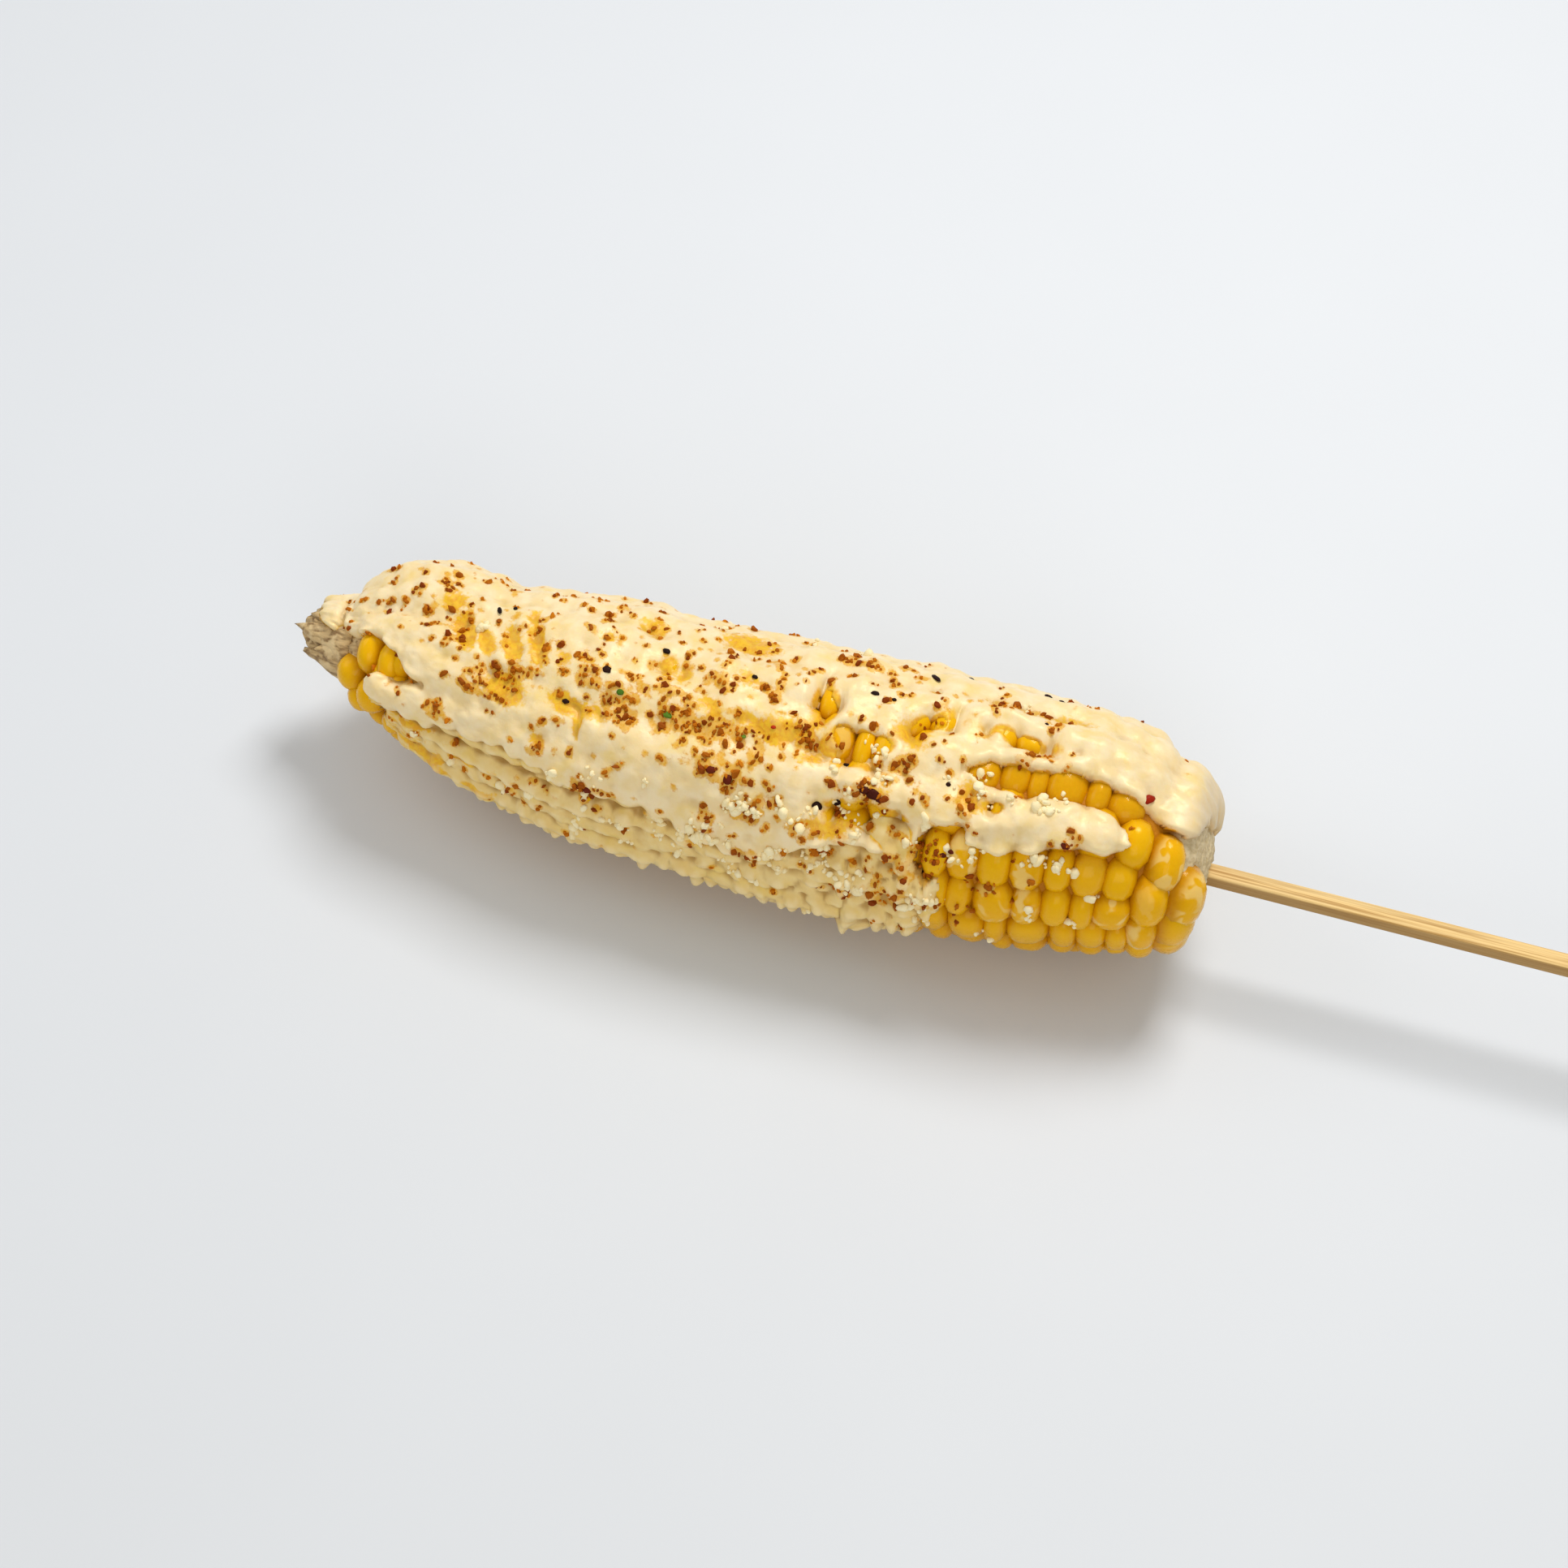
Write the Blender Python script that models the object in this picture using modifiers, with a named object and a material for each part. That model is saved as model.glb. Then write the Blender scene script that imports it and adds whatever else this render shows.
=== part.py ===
"""Elote: an ear of corn on a square wooden stick, under a coat of cream sauce.

The ear lies along X on its lowest kernels, with its tip at -X and the stick
leaving its butt at +X. Two coordinates place things on it: the distance along
the ear, measured from its tip, and the angle round it, measured from straight
up towards the front, which is -Y. All lengths are in metres.
"""
import math

import bmesh
import bpy
from mathutils import Vector

# Driving sizes.
EAR_LENGTH = 0.181
STICK_OUT = 0.109
TOTAL_LENGTH = EAR_LENGTH + STICK_OUT
GAP = 0.0003

# The woody cob: distance from the tip, radius.
COB_PROFILE = (
    (0.0000, 0.0022),
    (0.0030, 0.0052),
    (0.0100, 0.0074),
    (0.0300, 0.0096),
    (0.0600, 0.0120),
    (0.1000, 0.0130),
    (0.1690, 0.0132),
    (0.1740, 0.0130),
    (0.1780, 0.0112),
    (0.1802, 0.0078),
    (EAR_LENGTH, 0.0040),
)
COB_SIDES = 24
BRACTS = 6
BRACT_LENGTH = 0.0016
BRACTS_END = 0.012

# The kernels: rows round the cob, each row one kernel after another.
ROWS = 16
KERNELS_PER_ROW = 34
KERNELS_START = 0.0125
KERNELS_END = 0.1785
KERNEL_HEIGHT = 0.0102
TIP_SHOULDER = 0.075
BUTT_SHOULDER = 0.130
ROW_VALLEY = 0.0019
KERNEL_GROOVE = 0.0013
PITCH_AT_TIP = 0.84

# The ear's tip bends up and back over this length.
BEND_LENGTH = 0.055
BEND_RISE = 0.0022
BEND_BACK = 0.0028

# The lowest kernels are pressed flat by this much where the ear rests.
FLATTENED = 0.0013

# The cream sauce.
CREAM_START = 0.005
CREAM_END = 0.178
CREAM_CLEARANCE = 0.0008
CREAM_THICKNESS = 0.0021
CREAM_THIN = 0.35
CREAM_SEGMENTS_ALONG = 34
CREAM_SEGMENTS_ROUND = 20
CREAM_BACK_ANGLE = -112
CREAM_FRONT_ANGLE = 121
CREAM_BARE_ANGLE = 38
BARE_START = 0.118
BARE_FULL = 0.134

# The stick.
STICK_WIDTH = 0.0032
STICK_CHAMFER = 0.0004
STICK_INSIDE = 0.060


def clear_scene():
    """Remove whatever the file opened with."""
    for item in list(bpy.data.objects):
        bpy.data.objects.remove(item, do_unlink=True)


def new_collection(name):
    """Return a collection linked to the scene."""
    collection = bpy.data.collections.new(name)
    bpy.context.scene.collection.children.link(collection)
    return collection


def new_material(name, color, roughness):
    """Return a plain Principled material; nothing on the ear is metal."""
    material = bpy.data.materials.new(name)
    material.use_nodes = True
    shader = material.node_tree.nodes["Principled BSDF"]
    shader.inputs["Base Color"].default_value = (*color, 1.0)
    shader.inputs["Roughness"].default_value = roughness
    shader.inputs["Metallic"].default_value = 0.0
    return material


def new_object(name, mesh, collection, material=None):
    """Link a mesh object, smooth but for its sharp edges."""
    item = bpy.data.objects.new(name, mesh)
    collection.objects.link(item)
    if material:
        mesh.materials.append(material)
        mesh.shade_smooth()
        mesh.set_sharp_from_angle(angle=math.radians(40))
    return item


def mesh_from(shape, name):
    """Turn a bmesh into a mesh and free it."""
    mesh = bpy.data.meshes.new(name)
    shape.to_mesh(mesh)
    shape.free()
    return mesh


def make_cutter(item):
    """Show an object as a wire guide that isn't rendered."""
    item.hide_render = True
    item.display_type = "WIRE"


def cut(item, cutter):
    """Take the cutter's shape out of the item."""
    modifier = item.modifiers.new(cutter.name, "BOOLEAN")
    modifier.operation = "DIFFERENCE"
    modifier.solver = "EXACT"
    modifier.object = cutter


def smooth_step(value, start, end):
    """Rise smoothly from 0 at start to 1 at end."""
    t = min(max((value - start) / (end - start), 0.0), 1.0)
    return t * t * (3.0 - 2.0 * t)


def cob_radius(along):
    """Radius of the cob, read off its profile."""
    for (start, low), (end, high) in zip(COB_PROFILE, COB_PROFILE[1:]):
        if along <= end:
            return low + (high - low) * max(along - start, 0.0) / (end - start)
    return COB_PROFILE[-1][1]


def kernel_fullness(along):
    """How far the kernels stand out: 0 where the rows end, 1 along the middle."""
    if along < TIP_SHOULDER:
        t = (TIP_SHOULDER - along) / (TIP_SHOULDER - KERNELS_START)
        power, root = 2.2, 1.6
    elif along > BUTT_SHOULDER:
        t = (along - BUTT_SHOULDER) / (KERNELS_END - BUTT_SHOULDER)
        power, root = 2.4, 1.5
    else:
        return 1.0
    return max(1.0 - min(t, 1.0) ** power, 0.0) ** (1.0 / root)


def crown_radius(along):
    """Radius of the surface that touches the kernels' crowns, or the bare cob."""
    rim = 2.0 * GAP
    return cob_radius(along) + rim + KERNEL_HEIGHT * kernel_fullness(along)


def ear_line(along):
    """Centre of the ear at a distance from its tip, which bends up and back."""
    bend = max(1.0 - along / BEND_LENGTH, 0.0) ** 2
    return Vector((along - TOTAL_LENGTH / 2, BEND_BACK * bend, BEND_RISE * bend))


def ear_point(along, angle, radius):
    """Point at a distance from the tip, an angle round the ear and a radius."""
    outward = Vector((0.0, -math.sin(angle), math.cos(angle)))
    return ear_line(along) + radius * outward


def bend_with_ear(mesh):
    """Move a straight turned mesh onto the ear's line."""
    for vertex in mesh.vertices:
        along = vertex.co.x + TOTAL_LENGTH / 2
        line = ear_line(along)
        vertex.co.y += line.y
        vertex.co.z += line.z


def turned_mesh(name, profile, collection):
    """Turn a profile of (distance from the tip, radius) round the X axis."""
    outline = bmesh.new()
    points = [(0.0, profile[-1][0]), *((radius, along) for along, radius in reversed(profile))]
    points.append((0.0, profile[0][0]))
    vertices = [outline.verts.new((radius, 0.0, along)) for radius, along in points]
    for first, second in zip(vertices, vertices[1:]):
        outline.edges.new((first, second))
    turned = new_object(name, mesh_from(outline, name), collection)
    screw = turned.modifiers.new("Turn", "SCREW")
    screw.axis = "Z"
    screw.steps = COB_SIDES
    screw.render_steps = COB_SIDES
    screw.use_merge_vertices = True
    screw.merge_threshold = 0.00001
    turned.rotation_euler = (0.0, math.pi / 2, 0.0)
    turned.location.x = -TOTAL_LENGTH / 2
    bpy.context.view_layer.update()
    evaluated = turned.evaluated_get(bpy.context.evaluated_depsgraph_get())
    mesh = bpy.data.meshes.new_from_object(evaluated)
    mesh.transform(turned.matrix_world)
    bpy.data.objects.remove(turned, do_unlink=True)
    bend_with_ear(mesh)
    return mesh


def pull_out_bracts(mesh):
    """Draw the cob's tip out into a ring of blunt husk points."""
    for vertex in mesh.vertices:
        along = vertex.co.x + TOTAL_LENGTH / 2
        line = ear_line(along)
        angle = math.atan2(line.y - vertex.co.y, vertex.co.z - line.z)
        reach = 1.0 - smooth_step(along, 0.0, BRACTS_END)
        ripple = 0.5 + 0.5 * math.cos(BRACTS * angle)
        if along > 0.0001:
            vertex.co.x -= BRACT_LENGTH * reach * ripple


def square_rod(name, width, start, end, collection):
    """A square rod along the ear's axis, between two distances from the tip."""
    shape = bmesh.new()
    bmesh.ops.create_cube(shape, size=1.0)
    bmesh.ops.scale(shape, vec=(end - start, width, width), verts=shape.verts)
    middle = (start + end - TOTAL_LENGTH) / 2
    bmesh.ops.translate(shape, vec=(middle, 0.0, 0.0), verts=shape.verts)
    return new_object(name, mesh_from(shape, name), collection)


def build_cob(parts, cutters, material):
    """The woody core, with a blind square bore for the stick in its butt."""
    mesh = turned_mesh("cob", COB_PROFILE, parts)
    pull_out_bracts(mesh)
    cob = new_object("cob", mesh, parts, material)
    bore = square_rod(
        "stick_bore",
        STICK_WIDTH + 2 * GAP,
        EAR_LENGTH - STICK_INSIDE - GAP,
        EAR_LENGTH + STICK_INSIDE,
        cutters,
    )
    make_cutter(bore)
    cut(cob, bore)
    return cob


def kernel_distance(share):
    """Distance from the tip of a share of a row; kernels grow towards the butt."""
    eased = PITCH_AT_TIP * share + (1.0 - PITCH_AT_TIP) * share * share
    return KERNELS_START + (KERNELS_END - KERNELS_START) * eased


def kernels_mesh():
    """A grid of two by two faces a kernel, wrapped round the ear and closed."""
    around = 2 * ROWS
    lengthwise = 2 * KERNELS_PER_ROW
    shape = bmesh.new()
    bmesh.ops.create_grid(shape, x_segments=lengthwise, y_segments=around, size=0.5)
    for vertex in shape.verts:
        step_along = round((vertex.co.x + 0.5) * lengthwise)
        step_round = round((vertex.co.y + 0.5) * around)
        in_valley = step_round % 2 == 0
        row = step_round // 2
        in_groove = (step_along + row) % 2 == 0
        along = kernel_distance(step_along / lengthwise)
        drop = ROW_VALLEY * in_valley + KERNEL_GROOVE * in_groove
        radius = crown_radius(along) - drop * kernel_fullness(along)
        vertex.co = ear_point(along, math.tau * step_round / around, radius)
    bmesh.ops.remove_doubles(shape, verts=shape.verts, dist=0.00001)
    bmesh.ops.holes_fill(shape, edges=[edge for edge in shape.edges if edge.is_boundary])
    bmesh.ops.recalc_face_normals(shape, faces=shape.faces)
    return mesh_from(shape, "kernels")


def build_kernels(parts, cutters, material):
    """The kernels as one ring round the cob, flat where the ear rests."""
    kernels = new_object("kernels", kernels_mesh(), parts, material)
    socket = [(along, radius + GAP) for along, radius in COB_PROFILE]
    bore = new_object("cob_bore", turned_mesh("cob_bore", socket, cutters), cutters)
    make_cutter(bore)
    cut(kernels, bore)
    deepest = crown_radius((TIP_SHOULDER + BUTT_SHOULDER) / 2)
    floor_level = FLATTENED - deepest
    shape = bmesh.new()
    bmesh.ops.create_cube(shape, size=TOTAL_LENGTH)
    drop = floor_level - TOTAL_LENGTH / 2
    bmesh.ops.translate(shape, vec=(0.0, 0.0, drop), verts=shape.verts)
    floor = new_object("resting_plane", mesh_from(shape, "resting_plane"), cutters)
    make_cutter(floor)
    cut(kernels, floor)
    return kernels


def cream_edges(along):
    """Back and front angles between which the cream lies at a distance."""
    opening = smooth_step(along, CREAM_START - 0.004, 0.030)
    bare = smooth_step(along, BARE_START, BARE_FULL)
    lobes = 7.0 * math.sin(along * 260.0) + 4.0 * math.sin(along * 610.0 + 1.0)
    front = CREAM_FRONT_ANGLE + (CREAM_BARE_ANGLE - CREAM_FRONT_ANGLE) * bare
    back = CREAM_BACK_ANGLE - lobes
    return math.radians(back * (0.55 + 0.45 * opening)), math.radians(front * opening + lobes)


def cream_depth(share_along, share_round):
    """Thickness of the cream as a share of its greatest: thin at its edges."""
    middle = math.sin(math.pi * share_round) ** 0.7
    ends = min(1.0, 9.0 * share_along, 14.0 * (1.0 - share_along))
    ripple = 0.12 * math.sin(17.0 * share_along) * math.cos(9.0 * share_round)
    return max(CREAM_THIN, min(1.0, 0.25 + 0.65 * middle * ends + ripple))


def build_cream(parts, material):
    """The cream sauce: a sheet draped over the kernels, thick along the top."""
    along_count = CREAM_SEGMENTS_ALONG
    round_count = CREAM_SEGMENTS_ROUND
    shape = bmesh.new()
    bmesh.ops.create_grid(shape, x_segments=along_count, y_segments=round_count, size=0.5)
    shape.verts.ensure_lookup_table()
    depths = []
    for vertex in shape.verts:
        share_along = vertex.co.x + 0.5
        share_round = vertex.co.y + 0.5
        along = CREAM_START + (CREAM_END - CREAM_START) * share_along
        back, front = cream_edges(along)
        angle = back + (front - back) * share_round
        depths.append(cream_depth(share_along, share_round))
        vertex.co = ear_point(along, angle, crown_radius(along) + CREAM_CLEARANCE)
    for face in shape.faces:
        face.normal_update()
    middle_face = max(shape.faces, key=lambda face: face.calc_center_median().z)
    if middle_face.normal.z < 0.0:
        bmesh.ops.reverse_faces(shape, faces=shape.faces)
    cream = new_object("crema", mesh_from(shape, "crema"), parts, material)
    group = cream.vertex_groups.new(name="depth")
    for index, depth in enumerate(depths):
        group.add([index], depth, "REPLACE")
    wall = cream.modifiers.new("Thickness", "SOLIDIFY")
    wall.thickness = CREAM_THICKNESS
    wall.offset = 1.0
    wall.vertex_group = group.name
    return cream


def build_stick(parts, material):
    """The wooden stick, pushed into the butt, with its long edges eased."""
    start = EAR_LENGTH - STICK_INSIDE
    stick = square_rod("stick", STICK_WIDTH, start, TOTAL_LENGTH, parts)
    stick.data.materials.append(material)
    bevel = stick.modifiers.new("Eased edges", "BEVEL")
    bevel.width = STICK_CHAMFER
    bevel.segments = 2
    bevel.limit_method = "ANGLE"
    return stick


def stand_on_origin(parts, pieces, guides):
    """Hang everything on one empty, moved so that the base's centre is the origin."""
    bpy.context.view_layer.update()
    graph = bpy.context.evaluated_depsgraph_get()
    corners = []
    for item in pieces:
        evaluated = item.evaluated_get(graph)
        corners += [evaluated.matrix_world @ vertex.co for vertex in evaluated.data.vertices]
    low = Vector(min(corner[axis] for corner in corners) for axis in range(3))
    high = Vector(max(corner[axis] for corner in corners) for axis in range(3))
    stand = bpy.data.objects.new("elote_origin", None)
    parts.objects.link(stand)
    stand.location = (-(low.x + high.x) / 2, -(low.y + high.y) / 2, -low.z)
    for item in pieces + guides:
        item.parent = stand


def main():
    """Build the elote."""
    clear_scene()
    parts = new_collection("elote")
    cutters = new_collection("cutters")
    cob = build_cob(parts, cutters, new_material("cob", (0.42, 0.32, 0.19), 0.75))
    kernels = build_kernels(parts, cutters, new_material("kernels", (0.80, 0.45, 0.03), 0.28))
    cream = build_cream(parts, new_material("cream", (0.92, 0.82, 0.60), 0.32))
    stick = build_stick(parts, new_material("stick", (0.76, 0.55, 0.28), 0.60))
    pieces = [cob, kernels, cream, stick]
    stand_on_origin(parts, pieces, list(cutters.objects))


main()
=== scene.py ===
"""Elote on its stick: separate kernels, draped cream, cob ends, chili, cheese and specks.

The add-on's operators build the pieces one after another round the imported
model. Lengths inside this file are millimetres unless a name says otherwise;
meshes are written in metres. Things on the ear are placed by the distance
from its tip and the angle round it, from straight up towards the front.
"""
import math
from functools import lru_cache

import bmesh
import bpy
import numpy as np
from mathutils import Matrix, Vector


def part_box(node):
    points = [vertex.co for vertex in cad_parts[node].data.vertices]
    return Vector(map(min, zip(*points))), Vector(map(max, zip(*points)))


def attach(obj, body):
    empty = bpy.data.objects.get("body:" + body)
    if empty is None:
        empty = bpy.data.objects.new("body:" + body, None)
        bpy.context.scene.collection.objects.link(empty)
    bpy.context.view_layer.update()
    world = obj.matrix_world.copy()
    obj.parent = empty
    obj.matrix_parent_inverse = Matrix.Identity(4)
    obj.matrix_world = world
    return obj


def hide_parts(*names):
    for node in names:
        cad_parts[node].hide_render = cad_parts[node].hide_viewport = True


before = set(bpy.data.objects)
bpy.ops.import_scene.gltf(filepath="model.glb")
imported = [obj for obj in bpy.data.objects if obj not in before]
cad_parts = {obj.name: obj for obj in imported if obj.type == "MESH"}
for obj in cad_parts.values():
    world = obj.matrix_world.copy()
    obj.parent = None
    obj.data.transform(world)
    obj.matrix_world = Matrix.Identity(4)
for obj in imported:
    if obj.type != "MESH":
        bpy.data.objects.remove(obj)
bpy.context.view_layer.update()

bl_info = {
    "name": "Elote Builder",
    "version": (1, 0, 0),
    "blender": (4, 5, 0),
    "location": "View3D > Sidebar > Elote",
    "description": "Builds an ear of corn on a stick with cream, chili and cheese",
    "category": "Add Mesh",
}

MM = 0.001
BODY = "root"
COB_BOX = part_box("cob")
KERNEL_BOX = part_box("kernels")
STICK_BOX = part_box("stick")
TIP_X = COB_BOX[0][0] / MM
EAR_LENGTH = (COB_BOX[1][0] - COB_BOX[0][0]) / MM
AXIS_Y = (STICK_BOX[0][1] + STICK_BOX[1][1]) / 2 / MM
AXIS_Z = (STICK_BOX[0][2] + STICK_BOX[1][2]) / 2 / MM
KERNELS_START = KERNEL_BOX[0][0] / MM - TIP_X
KERNELS_END = KERNEL_BOX[1][0] / MM - TIP_X


# --------------------------------------------------------------------------
# Settings that a user would change
# --------------------------------------------------------------------------

class KernelSettings(bpy.types.PropertyGroup):
    """Sizes and colours of the kernels."""

    rows: bpy.props.IntProperty(
        name="Rows", description="Rows of kernels round the cob", default=16, min=8, max=24
    )
    per_row: bpy.props.IntProperty(
        name="Kernels per row", description="Kernels in one row", default=34, min=10, max=60
    )
    cap_height: bpy.props.FloatProperty(
        name="Cap height", description="Height of a kernel's rounded cap",
        default=4.4 * MM, unit="LENGTH",
    )
    color: bpy.props.FloatVectorProperty(
        name="Kernel colour", description="Main yellow of a kernel",
        subtype="COLOR", default=(0.86, 0.47, 0.001),
    )
    # Also the colour of the painted shade on low kernels and on the row under the cream.
    deep_color: bpy.props.FloatVectorProperty(
        name="Deep colour", description="Colour between the kernels",
        subtype="COLOR", default=(0.52, 0.20, 0.001),
    )
    pale_color: bpy.props.FloatVectorProperty(
        name="Pale colour", description="Creamy patches on some kernels",
        subtype="COLOR", default=(0.90, 0.64, 0.22),
    )
    seed: bpy.props.IntProperty(name="Seed", description="Seed of the unevenness", default=5)


class CreamSettings(bpy.types.PropertyGroup):
    """Depths and colours of the cream sauce."""

    blanket_depth: bpy.props.FloatProperty(
        name="Blanket depth", description="Depth of the thick cream over the kernels",
        default=1.95 * MM, unit="LENGTH",
    )
    film_depth: bpy.props.FloatProperty(
        name="Film depth", description="Depth of the thin coat over the lower kernels",
        default=0.45 * MM, unit="LENGTH",
    )
    grid: bpy.props.FloatProperty(
        name="Grid", description="Spacing of the cream's surface points",
        default=0.46 * MM, unit="LENGTH",
    )
    color: bpy.props.FloatVectorProperty(
        name="Cream colour", description="Thick cream",
        subtype="COLOR", default=(0.90, 0.70, 0.365),
    )
    thin_color: bpy.props.FloatVectorProperty(
        name="Thin colour", description="Cream where the kernels show through",
        subtype="COLOR", default=(0.86, 0.50, 0.003),
    )
    film_color: bpy.props.FloatVectorProperty(
        name="Film colour", description="The thin coat over the lower kernels",
        subtype="COLOR", default=(0.84, 0.605, 0.22),
    )
    # Painted shade in the cream's hollows.
    hollow_shade_color: bpy.props.FloatVectorProperty(
        name="Hollow colour", description="Cream in the grooves between the kernels",
        subtype="COLOR", default=(0.46, 0.26, 0.06),
    )
    stain_color: bpy.props.FloatVectorProperty(
        name="Stain colour", description="Cream stained by the chili",
        subtype="COLOR", default=(0.80, 0.41, 0.006),
    )


class SprinkleSettings(bpy.types.PropertyGroup):
    """Numbers and colours of what is sprinkled on."""

    chili_count: bpy.props.IntProperty(
        name="Chili clumps", description="Number of small clumps of chili", default=720
    )
    chili_light: bpy.props.FloatVectorProperty(
        name="Light chili", description="Palest chili grains",
        subtype="COLOR", default=(0.62, 0.195, 0.004),
    )
    chili_dark: bpy.props.FloatVectorProperty(
        name="Dark chili", description="Darkest chili grains",
        subtype="COLOR", default=(0.22, 0.034, 0.002),
    )
    cheese_count: bpy.props.IntProperty(
        name="Cheese clumps", description="Number of small clumps of cheese", default=120
    )
    cheese_color: bpy.props.FloatVectorProperty(
        name="Cheese colour", description="Crumbled white cheese",
        subtype="COLOR", default=(0.98, 0.87, 0.56),
    )
    seed: bpy.props.IntProperty(name="Seed", description="Seed of the scatter", default=11)


class StageSettings(bpy.types.PropertyGroup):
    """Floor, light and camera."""

    azimuth: bpy.props.FloatProperty(
        name="Azimuth", description="Camera's turn round the ear",
        subtype="ANGLE", default=math.radians(17.34),
    )
    elevation: bpy.props.FloatProperty(
        name="Elevation", description="Camera's height above the horizon",
        subtype="ANGLE", default=math.radians(55),
    )
    distance: bpy.props.FloatProperty(
        name="Distance", description="Camera to the point it looks at",
        default=0.549, unit="LENGTH",
    )
    view_angle: bpy.props.FloatProperty(
        name="View angle", description="Camera's angle of view",
        subtype="ANGLE", default=math.radians(30),
    )
    floor_color: bpy.props.FloatVectorProperty(
        name="Floor colour", description="Plain pale floor",
        subtype="COLOR", default=(0.70, 0.735, 0.79),
    )


# --------------------------------------------------------------------------
# Small helpers for numbers on the ear
# --------------------------------------------------------------------------

ROLL_RADIUS = 24.0


def on_roll(degrees):
    """Distance round an unrolled ear for an angle in degrees."""
    return math.radians(degrees) * ROLL_RADIUS


def smooth_step(value, start, end):
    """Rise smoothly from 0 at start to 1 at end."""
    t = np.clip((value - start) / (end - start), 0.0, 1.0)
    return t * t * (3.0 - 2.0 * t)


def bump_at(value, centre, width):
    """A bell of height 1."""
    return np.exp(-(((value - centre) / width) ** 2))


def blur(field, across, around):
    """Gaussian blur of a grid that closes on itself in its second direction."""
    for axis, width in ((0, across), (1, around)):
        reach = max(1, int(3 * width))
        taps = np.exp(-0.5 * (np.arange(-reach, reach + 1) / width) ** 2)
        taps /= taps.sum()
        if axis == 0:
            padded = np.pad(field, ((reach, reach), (0, 0)), mode="edge")
            rows = field.shape[0]
            field = sum(t * padded[i:i + rows] for i, t in enumerate(taps))
        else:
            field = sum(t * np.roll(field, i - reach, axis=1) for i, t in enumerate(taps))
    return field


def value_noise(x, y, size, seed, octaves=3):
    """Smooth noise between about -1 and 1, with features of the given size."""
    cells = 256
    total = np.zeros(np.broadcast(x, y).shape)
    strength = 1.0
    for octave in range(octaves):
        lattice = np.random.default_rng(seed + octave).uniform(-1, 1, (cells, cells))
        u = x / size * 2**octave + 31.7 * octave
        v = y / size * 2**octave + 17.3 * octave
        iu, iv = np.floor(u).astype(int), np.floor(v).astype(int)
        fu, fv = u - iu, v - iv
        fu, fv = fu * fu * (3 - 2 * fu), fv * fv * (3 - 2 * fv)
        low, high = (
            lattice[iu % cells, (iv + j) % cells] * (1 - fu)
            + lattice[(iu + 1) % cells, (iv + j) % cells] * fu
            for j in (0, 1)
        )
        total += strength * (low * (1 - fv) + high * fv)
        strength *= 0.5
    return total


def outline_distance(outline, along, across):
    """Signed distance to a closed outline, in mm, positive inside."""
    points = np.array([(s, on_roll(a)) for s, a in outline])
    nearest = np.full(along.shape, 1e9)
    inside = np.zeros(along.shape, bool)
    for (x0, y0), (x1, y1) in zip(points, np.roll(points, -1, axis=0)):
        dx, dy = x1 - x0, y1 - y0
        t = np.clip(((along - x0) * dx + (across - y0) * dy) / (dx * dx + dy * dy), 0, 1)
        gap = np.hypot(along - x0 - t * dx, across - y0 - t * dy)
        nearest = np.minimum(nearest, gap)
        crosses = (y0 > across) != (y1 > across)
        slope = dx / dy if dy else 0.0
        inside ^= crosses & (along < x0 + (across - y0) * slope)
    return np.where(inside, nearest, -nearest)


# --------------------------------------------------------------------------
# The ear: its profile, its kernels and the cream's surfaces
# --------------------------------------------------------------------------

KERNEL_DEPTH = 10.2
KERNEL_FOOT = 0.6
COB_STATIONS = (0.0, 3.0, 10.0, 30.0, 60.0, 100.0, 169.0, 174.0, 178.0, 181.0)
COB_RADII = (2.2, 5.2, 7.4, 9.6, 12.0, 13.0, 13.2, 13.0, 11.2, 4.0)
DOME_START = 170.5
DOME_RADIUS = 15.2
TIP_SHOULDER, TIP_POWER, TIP_ROOT = 75.0, 2.2, 1.6
BUTT_SHOULDER, BUTT_POWER, BUTT_ROOT = 130.0, 2.4, 1.5
BEND_LENGTH = 55.0
BEND_RISE = 2.2
BEND_BACK = 2.8

# Slight sideways leans of the ear: size, distance and reach; and their direction.
LEANS = ((1.0, 85.0, 26.0), (-1.1, 160.0, 15.0))
LEAN_Y, LEAN_Z = 0.83, 0.56
FLOOR_GAP = 0.15

FIRST_ROW = 9.0
ROW_SWAY = 6.0
CAP_POWER = 2.55
CAP_ROOT = 2.0


def crown_profile(along):
    """Radius over the kernels' crowns; past them, the cob's tip or its butt dome."""
    tip = np.clip((TIP_SHOULDER - along) / (TIP_SHOULDER - KERNELS_START), 0, 1)
    butt = np.clip((along - BUTT_SHOULDER) / (KERNELS_END - BUTT_SHOULDER), 0, 1)
    full = (1 - tip**TIP_POWER) ** (1 / TIP_ROOT) * (1 - butt**BUTT_POWER) ** (1 / BUTT_ROOT)
    crowns = np.interp(along, COB_STATIONS, COB_RADII) + KERNEL_FOOT + KERNEL_DEPTH * full
    past = np.clip((along - DOME_START) / (EAR_LENGTH - DOME_START), 0, 1)
    dome = DOME_RADIUS * np.sqrt(1 - past**2) * (along >= DOME_START)
    return np.where(along < KERNELS_END, np.maximum(crowns, dome), dome)


def row_sway(along):
    """How far the rows lean round the ear, in degrees."""
    return ROW_SWAY * bump_at(along, 85.0, 45.0)


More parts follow.
